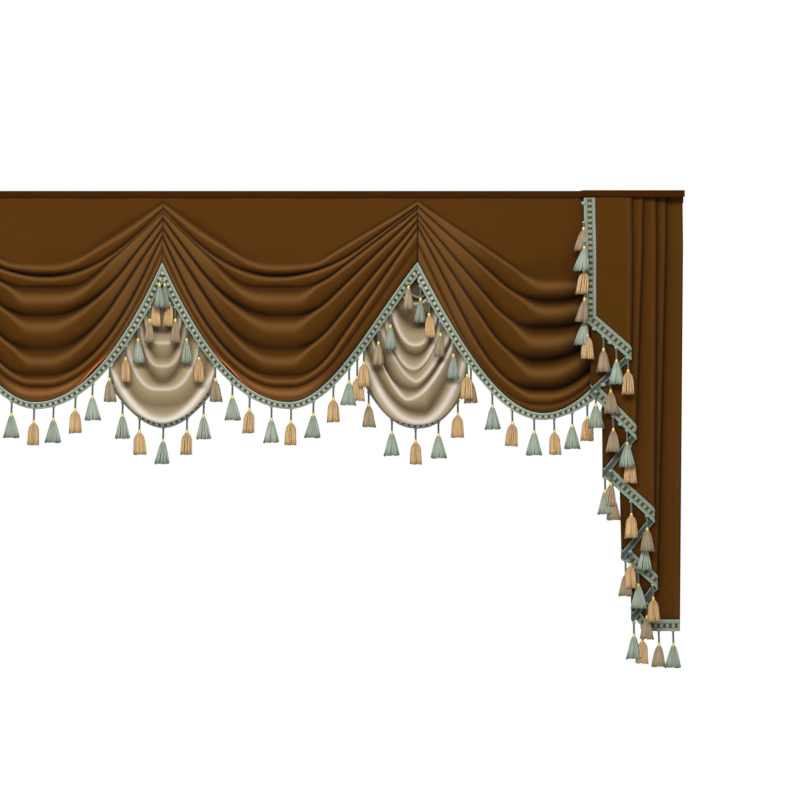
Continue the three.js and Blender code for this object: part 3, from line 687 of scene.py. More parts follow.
UNDER_COLUMNS, UNDER_BAND_ROWS = 110, 12
under_pieces = {}
for name, lines in UNDER_LINES.items():
    band_counts = [1, 8] + [UNDER_BAND_ROWS] * (len(lines) - 2)
    row_band, row_share = rows_in_bands(band_counts)
    mesh, across, row = flat_grid(name + "_satin", UNDER_COLUMNS, sum(band_counts))
    surface = under_surface(name, across, row_band[row], row_share[row])
    lay_points(mesh, surface.points)
    drop = -surface.points[:, 2]
    # Painted shadow of the swags over the peak; the painted highlight of a gather shows through it.
    shaded = PEAK_SHADE * smoothstep(drop, *PEAK_FROM) * (1 - smoothstep(drop, *PEAK_TO))
    gather = np.clip(surface.ridge - 1, 0, 1)
    store(mesh, "ridge", np.maximum(np.minimum(surface.ridge, 1) * (1 - shaded), gather))
    store(mesh, "hollow", np.maximum(surface.hollow, shaded) * (1 - gather))
    under_pieces[name] = show(name + "_satin", mesh, beige, name)
    thicken(under_pieces[name], 1.4)
    measure(name, mesh, surface.points, across, row)

# %% [markdown]
# ## Heading
# The heading is a strip of the same velvet folded over the top edges of all the cloths. It stands further out
# at the right end, where it also takes the many layers of the tail. Its section is a U upside down with
# rounded corners, carried along the whole width.

# %% Heading
HEADING_LEFT, HEADING_RIGHT, HEADING_BACK, HEADING_STEPS = -806.0, 829.0, 25.0, 230
HEADING_DEPTH, TAIL_HEADING_DEPTH, DEEPER_FROM = 8.2, 31.0, (610, 615)
back_section = [(0.8, HEADING_BACK), (0.8, 18), (0.8, 10), (0.8, 3.4), (1.2, 1.6), (2.4, 0.8)]
front_section = [(-2.4, 0.8), (-1.2, 1.6), (-0.8, 3.4), (-0.8, 7), (-0.6, 11), (-0.8, HEADING_LIP - 0.4)]
section = np.array(back_section + front_section)
mesh, across, row = flat_grid("heading_binding", HEADING_STEPS, len(section) - 1)
x = lerp(HEADING_LEFT, HEADING_RIGHT, across)
depth = lerp(HEADING_DEPTH, TAIL_HEADING_DEPTH, smoothstep(x, *DEEPER_FROM))
forward, drop = section[row].T
forward = np.where(row < len(back_section), forward, depth + forward)
waver = 0.35 * np.sin(x / 37) + 0.25 * np.sin(x / 11.3 + 1)
drop = drop + waver * (row == len(section) - 1)
points = np.column_stack([x, -forward, -drop])
lay_points(mesh, points)
heading = show("heading_binding", mesh, dark_brown, "heading")
thicken(heading, 1.3)
measure("heading", mesh, points, across, row)

# %% [markdown]
# ## Tail
# The tail is one panel with a slanting lower edge, folded back and forth like a paper fan. So its hem steps
# down in a zigzag. Each row of the table is one fold line: its place at the top, its place at the hem, and
# its drop there. The layers lie one behind the other and half turns join them. Nine flat pieces would look
# much the same from the front, but one sheet is what the maker has, and its turns show from the side.

# %% Tail table and surface
TailFold = namedtuple("TailFold", "top hem drop")
TAIL_FOLDS = [
    TailFold(641.5, 641.5, 265),
    TailFold(718, 714, 326),
    TailFold(634, 630, 399),
    TailFold(743, 725, 489),
    TailFold(651, 655, 570),
    TailFold(770, 764, 664),
    TailFold(676, 695, 742),
    TailFold(792, 771, 804),
    TailFold(697, 717, 872),
    TailFold(827, 819, 985),
]
TAIL_DROP, TAIL_HEAD, LAYERS, BACK_OVERLAP = 903.0, 154, len(TAIL_FOLDS) - 1, 14.0
TAIL_SEAT, TAIL_FORWARD, TOP_PITCH = 7.4, 17, 2.6


def layer_pitch(drop):
    return TOP_PITCH + 1.8 * smoothstep(drop, 14, TAIL_HEAD) + 2.1 * smoothstep(drop, TAIL_HEAD, 850)


def layer_stand(layer, drop):
    seat = TAIL_SEAT + TAIL_FORWARD * smoothstep(drop, 14, 134)
    return seat + (LAYERS - 1 - layer) * layer_pitch(drop)


def fold_x(fold, drop):
    return lerp(fold.top, fold.hem, np.minimum(drop / fold.drop, 1))


Station = namedtuple("Station", "layer share turn")


def tail_point(station, drop):
    """Place of the cloth and the direction away from its face, for an array of drops."""
    layer, way = station.layer, 1 if station.layer % 2 == 0 else -1
    radius, stand = layer_pitch(drop) / 2, layer_stand(layer, drop)
    ends = [TAIL_FOLDS[layer], TAIL_FOLDS[layer + 1]]
    if station.turn is None:
        inset = [0 if index in (0, LAYERS) else radius for index in (layer, layer + 1)]
        start, end = fold_x(ends[0], drop) + way * inset[0], fold_x(ends[1], drop) - way * inset[1]
        return np.column_stack([lerp(start, end, station.share), -stand, -drop]), np.array([0, way, 0])
    sine, cosine = math.sin(station.turn), math.cos(station.turn)
    x = fold_x(ends[1], drop) - way * radius + way * sine * radius
    return np.column_stack([x, radius - stand - cosine * radius, -drop]), np.array([-sine, way * cosine, 0])


def hem_drop(station):
    share = 1 if station.turn is not None else station.share
    ends = TAIL_FOLDS[station.layer].drop, TAIL_FOLDS[station.layer + 1].drop
    return min(lerp(*ends, share), TAIL_DROP)


def cloth_hem(station):
    """The cloth's lower edge. Seen from its back, the cloth hides the upper part of the braid."""
    returning = station.layer % 2
    if station.turn is not None:
        returning = abs(returning - station.turn / math.pi)
    return hem_drop(station) + BACK_OVERLAP * returning


def tail_stations(layer_steps, turn_steps):
    stations = [Station(0, 0.0, None)]
    for layer in range(LAYERS):
        last = layer == LAYERS - 1
        shares = np.arange(1, layer_steps + last) / layer_steps
        stations += [Station(layer, share, None) for share in shares]
        if not last:
            turns = np.linspace(0, math.pi, turn_steps + 1)
            stations += [Station(layer, None, turn) for turn in turns]
    return stations


print("tail folds:", len(TAIL_FOLDS))

# %% [markdown]
# On the real tail each layer comes out dark from behind the one in front of it and is a little lighter beside
# its own fold. Here both are painted: painted shade where a layer comes out, and painted light beside its
# fold.
# The folded edge itself is a thin line of painted shade, and the layers that run back get painted shade.

# %% Tail
TAIL_ROWS, HEAD_ROWS = 64, 0.25


def layer_shade(layer, returning, points):
    """Painted ridge light and painted hollow shade for points of one layer."""
    x, drop = points[:, 0], -points[:, 2]
    if returning:
        return np.zeros(len(x)), np.full(len(x), 0.3)
    fold = fold_x(TAIL_FOLDS[layer + 1], drop)
    light, edge = 0.1 * bell(fold - x - 6, 5), 0.5 * bell(x - fold, 2.8)
    if layer == 0:
        return light, edge
    front = TAIL_FOLDS[layer - 1]
    out = x - fold_x(front, drop)
    covered = 1 - smoothstep(drop, front.drop + 10, front.drop + 90)
    shade = np.maximum(0.62 * bell(out - 1.5, 3.0), 0.28 * (1 - smoothstep(out, 0, 22))) * covered
    return light, np.maximum(np.where(out < 0, 0.35 * covered, shade), edge)


stations = tail_stations(40, 8)
mesh, across, row = flat_grid("tail_velvet", len(stations) - 1, TAIL_ROWS)
column = np.rint(across * (len(stations) - 1)).astype(int)
row_down = np.arange(TAIL_ROWS + 1) / TAIL_ROWS
points, ridge, hollow = np.empty((len(row), 3)), np.zeros(len(row)), np.zeros(len(row))
head = lerp(CLOTH_TOP, TAIL_HEAD, np.clip(row_down / HEAD_ROWS, 0, 1))
below = np.clip((row_down - HEAD_ROWS) / (1 - HEAD_ROWS), 0, 1)
for index, station in enumerate(stations):
    drops = head + (cloth_hem(station) - TAIL_HEAD) * below
    mine = column == index
    points[mine] = tail_point(station, drops)[0][row[mine]]
    returning = station.layer % 2 == 1 or (station.turn is not None and station.turn > math.pi / 2)
    ridge[mine], hollow[mine] = layer_shade(station.layer, returning, points[mine])
lay_points(mesh, points)
store(mesh, "ridge", ridge)
store(mesh, "hollow", hollow)
tail = show("tail_velvet", mesh, brown, "tail")
thicken(tail, 1.2)
measure("tail", mesh, points, across, row)

# %% [markdown]
# ## Braid
# The trim is a woven braid 24 mm wide with a corded edge on both sides and a row of small dark squares down
# its middle, with pale bars between them. A picture of it could be repeated along the ribbon, but a formula
# stays sharp at any size. It follows a UV map that runs along and across the ribbon. The back has a place of
# its own in that map and stays plain. The braid's brightness is painted light and shade: it is drawn lightest
# on the swags, palest of all at their low hem, and dimmer on the under-swags and on the tail, where a thread
# also parts the squares. So there are three finishes.

# %% Braid finish
BRAID_WIDTH, WEAVE_PITCH, RIBS_PER_METRE = 24.0, 12.4, 4200
BACK_MIDDLE, LOW_HEM = 1.25, (0.39, 0.435)


def braid_finish(name, painted_lightness, squares, bars, parting, painted_low_light=0.0):
    material, tree = new_finish(name)
    weave, place = tree.node("ShaderNodeUVMap", {"uv_map": "weave"}), tree.object_place()
    along, over = weave.axis("X"), weave.axis("Y")
    off_middle = tree.math("ABSOLUTE", over - 0.5)
    step = tree.math("FRACT", along * (1 / MM / WEAVE_PITCH))
    off_step = tree.math("ABSOLUTE", step - 0.5)
    band = 1 - off_middle.between(0.15, 0.19)
    plain = over.between(1.0, 1.02)
    thread = place.noise(620.0)
    ribs = tree.math("SINE", along * RIBS_PER_METRE)
    colour = tree.mix(srgb(98, 103, 90), srgb(140, 150, 134), off_middle.between(0.2, 0.25))
    colour = tree.mix(colour, srgb(*squares), band * (1 - off_step.between(0.19, 0.25)))
    colour = tree.mix(colour, srgb(*bars), band * off_step.between(0.22, 0.28))
    colour = tree.mix(colour, srgb(126, 128, 104), parting * (1 - off_middle.between(0.01, 0.04)))
    colour = tree.mix(colour, srgb(146, 180, 172), off_middle.between(0.43, 0.47))
    # The plain back: darker in its middle, partly its own colour and partly painted shade, and paler at its
    # edges.
    back_edge = tree.math("ABSOLUTE", (over - BACK_MIDDLE) * 10).between(0.28, 0.4)
    colour = tree.mix(colour, tree.mix(srgb(70, 77, 68), srgb(138, 158, 148), back_edge), plain)
    lowest = (0 - place.axis("Z")).between(*LOW_HEM)
    # Painted light and shade: each copy is made brighter or dimmer, and the swags' low hem is made paler.
    value = painted_lightness * (0.8 + 0.3 * thread + 0.08 * ribs) * (1 + painted_low_light * lowest)
    nap = (0.6 * thread + 0.4 * ribs * (1 - plain)).bump(0.4, 0.5 * MM)
    finish = {"Base Color": colour.brightened(value), "Roughness": 0.72, "Normal": nap}
    cover(tree, finish | {"Specular IOR Level": 0.25})
    return material


# Three copies of one braid that differ in painted light and shade, and a little in their squares and parting.
hem_weave = braid_finish("hem_braid", 1.18, (66, 64, 36), (176, 180, 164), 0.15, 0.2)
under_weave = braid_finish("under_hem_braid", 0.82, (66, 66, 44), (166, 172, 156), 0.15)
tail_weave = braid_finish("tail_braid", 0.88, (54, 54, 18), (144, 148, 125), 0.5)
print("braid finishes:", hem_weave.name, under_weave.name, tail_weave.name)

# %% [markdown]
# The ribbon is a grid wrapped round the section of the braid, front and back. Its first and last rows are
# merged and its ends filled, so it is closed all round. A flat strip would do from the front, but cords and
# squares that stand out a little also catch the light from the side.

# %% Braid ribbon
FRONT_HALF = np.array([0, 0.02, 0.05, 0.09, 0.13, 0.17, 0.25, 0.33, 0.37, 0.5])
RIBBON_FRONT = np.concatenate([FRONT_HALF, 1 - FRONT_HALF[-2::-1]])
RIBBON_BACK = np.array([1, 0.9, 0.7, 0.5, 0.3, 0.1, 0])
CORD_AT, CORD_HALF = 0.43, 0.07


def tangents(points):
    """Unit tangents along a row of points."""
    ahead = np.gradient(points, axis=0)
    return ahead / np.linalg.norm(ahead, axis=1)[:, None]


def ribbon(name, inner, outer, facing, finish, node):
    """A braid between two edges, which are arrays of points, with the direction that its front faces."""
    over = np.concatenate([RIBBON_FRONT, RIBBON_BACK[1:-1], [0]])
    is_front = np.arange(len(over)) < len(RIBBON_FRONT)
    is_front[-1] = True
    middle = (inner + outer) / 2
    along = np.concatenate([[0], np.cumsum(np.linalg.norm(np.diff(middle, axis=0), axis=1))])
    mesh, across, row = flat_grid(name, len(inner) - 1, len(over) - 1)
    at = np.rint(across * (len(inner) - 1)).astype(int)
    v, front = over[row], is_front[row]
    off = np.abs(v - 0.5)
    lead = ((outer - inner) * tangents(middle)).sum(axis=1)
    along = along[at] + (v - 0.5) * lead[at]
    square = (off < 0.18) * (np.abs(along / WEAVE_PITCH % 1 - 0.5) < 0.26)
    past_cord = off - CORD_AT
    cord = bell(past_cord, 0.055)
    rim = np.where(past_cord > 0, np.sqrt(np.clip(1 - (past_cord / CORD_HALF) ** 2, 0, 1)), 1)
    relief = np.where(front, 0.8 + 0.8 * cord + 0.45 * square, -0.7 - 0.6 * cord) * rim
    points = inner[at] + (outer[at] - inner[at]) * v[:, None] + facing[at] * relief[:, None]
    lay_points(mesh, points)
    uv = mesh.uv_layers.new(name="weave")
    corner = np.empty(len(mesh.loops), dtype=int)
    mesh.loops.foreach_get("vertex_index", corner)
    back_v = np.where(front, v, 1.2 + 0.1 * v)
    uv.data.foreach_set("uv", np.column_stack([along[corner] * MM, back_v[corner]]).ravel())
    closed = bmesh.new()
    closed.from_mesh(mesh)
    bmesh.ops.remove_doubles(closed, verts=closed.verts, dist=1e-6)
    bmesh.ops.holes_fill(closed, edges=[edge for edge in closed.edges if edge.is_boundary], sides=0)
    bmesh.ops.recalc_face_normals(closed, faces=closed.faces)
    closed.to_mesh(mesh)
    closed.free()
    return show(name, mesh, finish, node)


print("ribbon rows:", len(RIBBON_FRONT) + len(RIBBON_BACK))

# %% [markdown]
# On a hem the braid starts at the cloth's edge and leans back below it, most where the hem is lowest. At its
# ends it is cut upright, so that the braids of two neighbours meet in a clean seam at the top of the gap.

# %% Braids on the hems


def hem_braid(name, hem, tilts, ends, finish):
    tangent = tangents(hem * [1, 0, 1])
    outward = np.column_stack([tangent[:, 2], np.zeros(len(hem)), -tangent[:, 0]])
    cosine, sine = np.cos(tilts)[:, None], np.sin(tilts)[:, None]
    back = np.array([0, 1, 0])
    down, facing = outward * cosine + back * sine, outward * sine - back * cosine

    def upright(points):
        shift = (np.clip(points[:, 0], *ends) - points[:, 0]) / tangent[:, 0]
        return points + tangent * shift[:, None]

    inner, outer = upright(hem + outward * PIECE_GAP), upright(hem + down * BRAID_WIDTH)
    return ribbon(name + "_braid", inner, outer, facing, finish, name + "_fringe"), (inner, outer)


HEM_STEPS = {"swag": 420, "under": 150}
braids, braid_edges = {}, {}
for swag in SWAGS:
    across = np.linspace(0, 1, HEM_STEPS["swag"] + 1)
    last = np.full(len(across), len(swag.folds) + 1)
    hem = swag_surface(swag, across, last, np.ones(len(across))).points
    tilts = np.radians(lerp(52, 36, (2 * across - 1) ** 2)) * swag_stand(swag, hem[:, 0], -hem[:, 2])[1]
    braids[swag.name], braid_edges[swag.name] = hem_braid(swag.name, hem, tilts, swag_ends(swag), hem_weave)
for name, line in UNDER_HEMS.items():
    across = np.linspace(0, 1, HEM_STEPS["under"] + 1)
    x, drop = cowl_line(line, cowl_side(across)).T
    hem = np.column_stack([UNDER_MIDDLE[name] + x, -under_stand(name, drop, cowl_side(across)), -drop])
    tilts = np.radians(lerp(UNDER_BELLY[name].tilt, 18, (2 * across - 1) ** 2))
    ends = (UNDER_MIDDLE[name] - line.left, UNDER_MIDDLE[name] + line.right)
    braids[name], braid_edges[name] = hem_braid(name, hem, tilts, ends, under_weave)
print("braids:", {name: len(piece.data.polygons) for name, piece in braids.items()})

# %% [markdown]
# The tail's braid runs down its leading edge, turns the corner with a mitre, and follows the zigzag of the
# hem round every half turn. On the layers that run back its plain side shows, and the cloth that it is sewn
# to covers the upper part of it.

# %% Braid on the tail
EDGE_X = TAIL_FOLDS[0].hem - PIECE_GAP
EDGE_OUTER, EDGE_STEPS = EDGE_X - BRAID_WIDTH, 130


def hem_slope(layer):
    start, end = TAIL_FOLDS[layer], TAIL_FOLDS[layer + 1]
    return 0.0 if layer == LAYERS - 1 else (end.drop - start.drop) / (end.hem - start.hem)


def braid_height(station):
    here = BRAID_WIDTH * math.hypot(1, hem_slope(station.layer))
    if station.turn is None:
        return here
    return lerp(here, BRAID_WIDTH * math.hypot(1, hem_slope(station.layer + 1)), station.turn / math.pi)


corner_inner = TAIL_FOLDS[0].drop + PIECE_GAP
corner_outer = corner_inner + BRAID_WIDTH * (math.hypot(1, hem_slope(0)) - hem_slope(0))
inner_points, outer_points = [], []
for points, x, corner in ((inner_points, EDGE_X, corner_inner), (outer_points, EDGE_OUTER, corner_outer)):
    drops = lerp(HEADING_LIP + 1, corner, np.linspace(0, 1, EDGE_STEPS))
    points.append(np.column_stack([np.full(EDGE_STEPS, x), -layer_stand(0, drops), -drops]))
facings = [np.tile([0.0, -1.0, 0.0], (EDGE_STEPS, 1))]
for station in tail_stations(46, 10)[1:]:
    inner_drop = np.array([cloth_hem(station) + PIECE_GAP])
    outer_drop = np.array([hem_drop(station) + braid_height(station)])
    inner, away = tail_point(station, inner_drop)
    outer = tail_point(station, outer_drop)[0]
    if station.layer == 0 and station.turn is None:
        behind = (1 - station.share) * BRAID_WIDTH
        outer = outer - np.array([[behind, 0, -behind * hem_slope(0)]])
    inner_points.append(inner)
    outer_points.append(outer)
    facings.append(-away[None, :])
tail_edges = [np.concatenate(rows) for rows in (inner_points, outer_points, facings)]
braids["tail"] = ribbon("tail_braid", *tail_edges, tail_weave, "tail_fringe")
print("tail braid faces:", len(braids["tail"].data.polygons))

# %% [markdown]
# ## Tassels
# A tassel hangs from the braid on a twisted cord. Below a gold bead its skirt opens: a bundle of thread
# locks cut off level. Three kinds take turns: teal ones flare out, gold ones have round shoulders and taupe
# ones lie between. Hair particles could give single threads, but they can't be exported. So three skirts of
# each kind are modelled with operators, lock by lock, and then set in place many times.

# %% Tassel parts
Part = namedtuple("Part", "points faces shade")


def as_part(built, shade=None):
    built.verts.ensure_lookup_table()
    points = np.array([vertex.co[:] for vertex in built.verts])
    faces = [[vertex.index for vertex in face.verts] for face in built.faces]
    built.free()
    return Part(points, faces, np.ones(len(points)) if shade is None else np.array(shade))


def sweep(built, path, widths, sides, shade=None, tones=None):
    """A closed strand through the points of a path, with a half width at each of them."""
    path = [Vector(point) for point in path]
    ring = bmesh.ops.create_circle(built, cap_ends=True, segments=sides, radius=1.0)["verts"]
    for index, point in enumerate(path):
        if index:
            linked = {edge for vertex in ring for edge in vertex.link_edges}
            edges = [edge for edge in linked if all(vertex in ring for vertex in edge.verts)]
            made = bmesh.ops.extrude_edge_only(built, edges=edges)["geom"]
            ring = [item for item in made if isinstance(item, bmesh.types.BMVert)]
        ahead = path[min(index + 1, len(path) - 1)] - path[max(index - 1, 0)]
        turn = ahead.normalized().to_track_quat("Z", "X")
        for spoke, vertex in enumerate(ring):
            angle = 2 * math.pi * spoke / sides
            vertex.co = point + turn @ Vector((math.cos(angle), math.sin(angle), 0)) * widths[index]
        if shade is not None:
            shade += [tones[index]] * len(ring)
    rim = [edge for edge in built.edges if edge.is_boundary]
    bmesh.ops.holes_fill(built, edges=rim, sides=0)


def twisted_cord(length, radius, turns, steps=18):
    built = bmesh.new()
    for start in (0, math.pi):
        angles = [start + 2 * math.pi * turns * step / steps for step in range(steps + 1)]
        path = [
            (radius * math.cos(angle), radius * math.sin(angle), -length * step / steps)
            for step, angle in enumerate(angles)
        ]
        sweep(built, path, [radius * 1.1] * (steps + 1), 5)
    bmesh.ops.recalc_face_normals(built, faces=built.faces)
    return as_part(built)


def bead(radius, tall):
    built = bmesh.new()
    bmesh.ops.create_uvsphere(built, u_segments=12, v_segments=8, radius=radius)
    bmesh.ops.scale(built, verts=built.verts, vec=(1, 1, tall))
    return as_part(built)


Skirt = namedtuple("Skirt", "shoulder full length flat corner")
SKIRTS = {
    "teal": Skirt(0.06, 15.2, 45, 0.5, 0.5),
    "gold": Skirt(0.72, 11.8, 45, 0.55, 0.1),
    "taupe": Skirt(0.28, 12.8, 43, 0.52, 0.3),
}
LOCKS, LOCK_STEPS, CORD_LENGTH = 30, 6, 26


def skirt(kind, seed):
    """A bundle of thread locks round a core. Shade holds how light each point is, painted shade included."""
    rng = np.random.default_rng(seed)
    shape, built, shade = SKIRTS[kind], bmesh.new(), []
    down = np.linspace(0, 1, LOCK_STEPS + 1)
    rounded = np.sin(np.pi / 2 * np.clip(down / 0.3, 0, 1))
    spread = lerp(0.22, 1, shape.shoulder * rounded + (1 - shape.shoulder) * down)
    for ring, count in ((1.0, LOCKS), (0.62, LOCKS // 2)):
        for lock in range(count):
            angle = 2 * math.pi * (lock + 0.5 * rng.random()) / count
            reach = shape.full * ring * spread * (1 + 0.05 * rng.standard_normal())
            sway = 0.7 * np.sin(down * rng.uniform(2, 5) + rng.uniform(0, 6)) * down
            length = shape.length * (1 + 0.025 * rng.standard_normal())
            path = np.column_stack([
                math.cos(angle) * reach + sway,
                math.sin(angle) * reach * shape.flat,
                -length * down,
            ])
            widths = lerp(0.8, 1.75, np.sqrt(down)) * (0.8 + 0.4 * rng.random())
            # Painted shade: the inner ring of locks is darker, and each lock darker at its top and, most at
            # the sides, at its end.
            tone = rng.uniform(0.72, 1.12) * (1.0 if ring == 1.0 else 0.75)
            corner = 0.86 - shape.corner * abs(math.cos(angle)) ** 4
            tones = tone * lerp(0.8, 1.05, np.clip(down * 2.5, 0, 1))
            sweep(built, path, widths, 4, shade, tones * lerp(1, corner, smoothstep(down, 0.7, 1)))
    bmesh.ops.recalc_face_normals(built, faces=built.faces)
    return as_part(built, shade)


tassel_cord, tassel_bead, root_knot = twisted_cord(CORD_LENGTH, 1.3, 3), bead(3.3, 1.55), bead(3.4, 0.92)
skirts = {kind: [skirt(kind, seed + 7) for seed in range(3)] for kind in SKIRTS}
print("points in one skirt:", len(skirts["teal"][0].points))

# %% [markdown]
# Cords and knots are thread of one colour. Each lock of a skirt has its own tone and some painted shade, so
# its colour is stored on its points as an attribute that holds the thread colour together with the painted
# shade, and one finish serves all three kinds. The noise of the strands is drawn out downwards, the way the
# threads hang. The beads are gilt and a little scuffed.

# %% Tassel finishes


def thread_finish(name, roughness, colour=None):
    """Thread of one colour, or else of the colour and painted shade stored on the piece as an attribute."""
    material, tree = new_finish(name)
    hanging = {"Vector": tree.object_place(), "Scale": (1.0, 1.0, 0.12)}
    strand = tree.node("ShaderNodeMapping", inputs=hanging).noise(1500.0)
    dye_and_shade = colour or tree.node("ShaderNodeAttribute", {"attribute_name": "dye_and_shade"}, output="Color")
    shaded = {"Color": dye_and_shade, "Value": 0.82 + 0.36 * strand}
    colour = tree.node("ShaderNodeHueSaturation", inputs=shaded)
    finish = {"Base Color": colour, "Roughness": roughness, "Normal": strand.bump(0.35, 0.4 * MM)}
    cover(tree, finish | {"Specular IOR Level": 0.3, "Sheen Weight": 0.15, "Sheen Roughness": 0.4})
    return material


def gold_finish(name):
    material, tree = new_finish(name)
    scuff = tree.object_place().noise(420.0)
    colour = tree.mix(srgb(206, 168, 62), srgb(246, 228, 120), scuff)
    finish = {"Base Color": colour, "Roughness": 0.22 + 0.2 * scuff, "Metallic": 0.35}
    cover(tree, finish | {"Specular IOR Level": 0.6})
    return material


DYES = {"teal": srgb(152, 163, 146), "gold": srgb(200, 164, 115), "taupe": srgb(158, 138, 108)}
skirt_thread = thread_finish("skirt_thread", 0.6)
cord_thread = thread_finish("cord_thread", 0.65, srgb(96, 104, 92))
knot_thread = thread_finish("knot_thread", 0.65, srgb(132, 154, 144))
bead_gold = gold_finish("gold_bead")
print("tassel finishes:", [finish.name for finish in (skirt_thread, cord_thread, knot_thread, bead_gold)])

# %% [markdown]
# ## Hanging the tassels
# Along the swags the tassels are about one pitch apart on the lower edge of the braid, and closer where it
# hangs steeply. On the tail they hang from its leading edge and from each layer of its hem. A place holds the
# root on the braid, the way the cord goes before it hangs, and the kind of tassel. Where the kind is knot,
# only a loose knot sits on the braid and nothing hangs from it.

# %% Tassel places
Place = namedtuple("Place", "root forward lean shorter kind")
Hung = namedtuple("Hung", "at kind shorter raised forward", defaults=(0, 0, 7))
SWAG_TASSELS = [
    Hung(-263, "teal", 20, 0.3),
    Hung(-254, "gold", 12),
    Hung(-241, "taupe"),
    Hung(-217, "teal"),
    Hung(-191, "gold"),
    Hung(-157, "taupe"),
    Hung(-121, "teal"),
    Hung(-85, "gold"),
    Hung(-39, "teal"),
    Hung(2, "gold"),
    Hung(49, "teal"),
    Hung(91, "gold"),
    Hung(124, "teal"),
    Hung(141, "gold", -12, 0, 3),
    Hung(155, "gold", 0, 0, 11),
    Hung(186, "taupe"),
    Hung(211, "teal"),
    Hung(249, "taupe", 20, 0.3),
]
END_SWAG_TASSELS = [
    Hung(-262, "teal"),
    Hung(-244, "gold"),
    Hung(-220, "taupe"),
    Hung(-193, "teal"),
    Hung(-164, "gold", 0, 0, 11),
    Hung(-156, "taupe", 0, 0, 2),
    Hung(-111, "teal"),
    Hung(-69, "gold"),
    Hung(-23, "teal"),
    Hung(19, "gold"),
    Hung(57, "teal"),
    Hung(89, "gold"),
    Hung(126, "teal"),
    Hung(158, "gold"),
    Hung(186, "teal"),
    Hung(211, "gold"),
    Hung(233, "teal"),
]
UNDER_TASSELS = {
    "under_swag_left": {-86: "teal", -50: "gold", 0: "teal", 50: "gold", 85: "teal"},
    "under_swag_right": {-103: "taupe", -54: "teal", -4: "gold", 44: "teal", 85: "gold"},
}
SEAM_STAGGER = 12


def point_at(points, x):
    return np.array([np.interp(x, points[:, 0], points[:, axis]) for axis in range(3)])


def hung_at(name, x, hung, stagger=0):
    hem, edge = [point_at(line, x) for line in braid_edges[name]]
    return Place(lerp(edge, hem, hung.raised), hung.forward + stagger, 0, hung.shorter, hung.kind)


places = {}
for swag in SWAGS:
    row, way = (END_SWAG_TASSELS if swag.pressed else SWAG_TASSELS), (-1 if swag.mirrored else 1)
    stagger = SEAM_STAGGER if swag.mirrored else 0
    places[swag.name] = [
        hung_at(swag.name, swag.middle + way * hung.at, hung, stagger * (hung.raised > 0)) for hung in row
    ]
for name, row in UNDER_TASSELS.items():
    places[name] = [hung_at(name, UNDER_MIDDLE[name] + at, Hung(at, kind)) for at, kind in row.items()]

LAYER_TASSELS = [
    {621: "gold", 637: "knot", 656: "taupe", 671: "knot", 684: "teal", 709: "gold"},
    {671: "taupe", 655: "knot", 638: "teal"},
    {676: "taupe", 693: "knot", 707: "teal"},
    {714: "gold", 670: "taupe", 657: "teal"},
    {674: "taupe", 715: "gold", 750: "taupe"},
    {746: "teal", 712: "gold"},
    {701: "taupe", 730: "teal", 764: "gold"},
    {750: "taupe", 719: "teal"},
    {737: "gold", 773: "taupe", 804: "teal"},
]
EDGE_TASSELS = {69: "taupe", 110: "teal", 158: "gold", 218: "taupe", 264: "teal", 28: "knot"}
tail_places = []
for index, (drop, kind) in enumerate(EDGE_TASSELS.items()):
    root = np.array([EDGE_OUTER, -layer_stand(0, drop), -drop])
    tail_places.append(Place(root, 8 + 11 * (index % 2), -9, 14, kind))
for layer, row in enumerate(LAYER_TASSELS):
    start, end = TAIL_FOLDS[layer].hem, TAIL_FOLDS[layer + 1].hem
    forward = 9 if layer % 2 == 0 else 4.2
    for x, kind in row.items():
        station = Station(layer, (x - start) / (end - start), None)
        edge_drop = np.array([hem_drop(station) + braid_height(station)])
        tail_places.append(Place(tail_point(station, edge_drop)[0][0], forward, 0, 0, kind))
places["tail"] = tail_places
print("tassels:", {name: sum(place.kind != "knot" for place in row) for name, row in places.items()})

# %% [markdown]
# Each tassel takes one of the three skirts of its kind, with its front or its back to the room, and leans a
# little. Close to a seam between two swags the tassels are crowded, so they are slimmer there and lie in
# shade. Hundreds of single objects would be slow, so all copies of a part on one hem are joined in one mesh.

# %% Setting the tassels


def joined(name, copies, finish, node, dyes_and_shade=None):
    """One mesh of many copies: pairs of a part and its points in place."""
    starts = np.cumsum([0] + [len(points) for _, points in copies])
    faces = [[start + i for i in face] for start, (part, _) in zip(starts, copies) for face in part.faces]
    mesh = bpy.data.meshes.new(name)
    mesh.from_pydata(np.concatenate([points for _, points in copies]) * MM, [], faces)
    if dyes_and_shade is not None:
        layer = mesh.attributes.new("dye_and_shade", "FLOAT_COLOR", "POINT")
        layer.data.foreach_set("color", np.concatenate(dyes_and_shade).astype(np.float32).ravel())
    return show(name, mesh, finish, node)


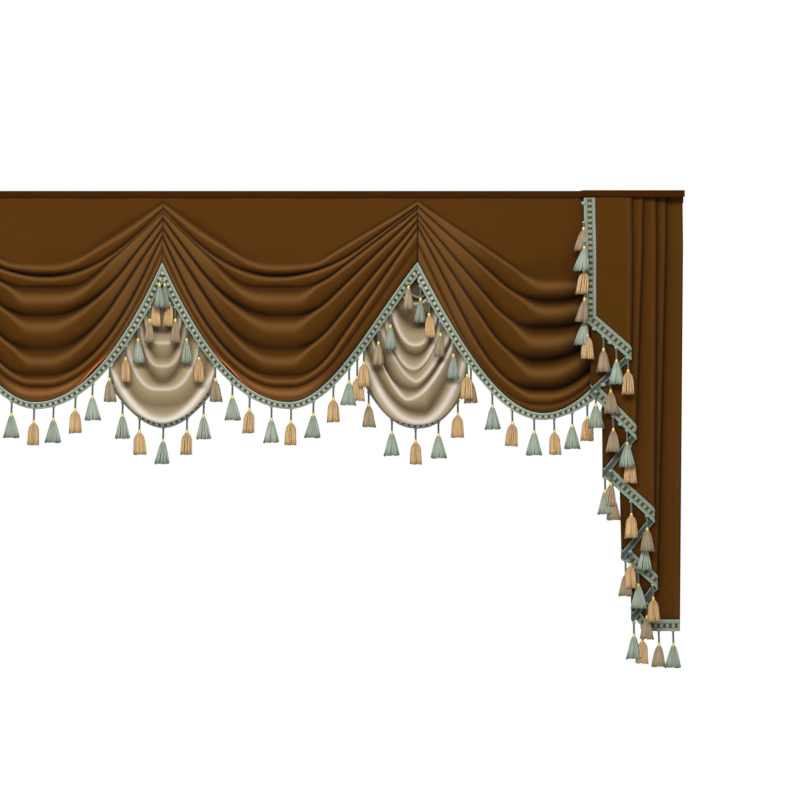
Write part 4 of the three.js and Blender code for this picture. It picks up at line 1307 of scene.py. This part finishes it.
def seam_distance(name, x):
    """How far a tassel of a swag hangs from the nearest seam. Other tassels count as far away."""
    return abs(x % SWAG_WIDTH - SWAG_WIDTH / 2) if name.startswith("swag") else SWAG_WIDTH


CORD_END, BEAD_AT, SKIRT_AT, TASSEL_LENGTH = 24.5, 28.0, 30.0, 74
SLIM, CROWDED, LOOSE_KNOT = 0.76, (60, 110), 1.35
cord_share = -tassel_cord.points[:, 2:] / CORD_LENGTH
rng = np.random.default_rng(11)
for name, row in places.items():
    cords, beads, knots, bundles, dyes_and_shade = [], [], [], [], []
    for place in row:
        hang = CORD_END - place.shorter
        slant = place.lean / TASSEL_LENGTH
        tip = place.root + [slant * hang, -place.forward, -hang]
        knot_size = np.array([1.25, 0.9, 1.0]) * (LOOSE_KNOT if place.kind == "knot" else 1)
        knots.append((root_knot, root_knot.points * knot_size + place.root + [0, -0.6, 0.4]))
        if place.kind == "knot":
            continue
        cord_line = lerp(place.root + [0, 0, 1.0], tip, cord_share)
        cords.append((tassel_cord, tassel_cord.points * [1, 1, 0] + cord_line))
        below = [slant * (BEAD_AT - CORD_END), 0, -(BEAD_AT - CORD_END)]
        beads.append((tassel_bead, tassel_bead.points + tip + below))
        part = skirts[place.kind][rng.integers(3)]
        way = rng.choice([-1, 1])
        from_seam = seam_distance(name, place.root[0])
        slim = lerp(SLIM, 1, smoothstep(from_seam, *CROWDED))
        shape = part.points * [slim * way, way, 1]
        leaning = slant + 0.03 * rng.standard_normal()
        shape[:, 0] -= leaning * shape[:, 2]
        bundles.append((part, shape + tip + [0, 0, -(SKIRT_AT - CORD_END)]))
        # Painted shade: tassels close to a seam are darker, and each point also takes the painted shade of
        # its skirt.
        dye_and_shade = np.array(DYES[place.kind]) * lerp(1, 0.7, bell(from_seam, 10))
        tint = dye_and_shade[None, :] * (part.shade * rng.uniform(0.92, 1.06))[:, None]
        tint[:, 3] = 1
        dyes_and_shade.append(tint)
    node = name + "_fringe"
    joined(name + "_cords", cords, cord_thread, node)
    joined(name + "_knots", knots, knot_thread, node)
    joined(name + "_beads", beads, bead_gold, node)
    joined(name + "_skirts", bundles, skirt_thread, node, dyes_and_shade)
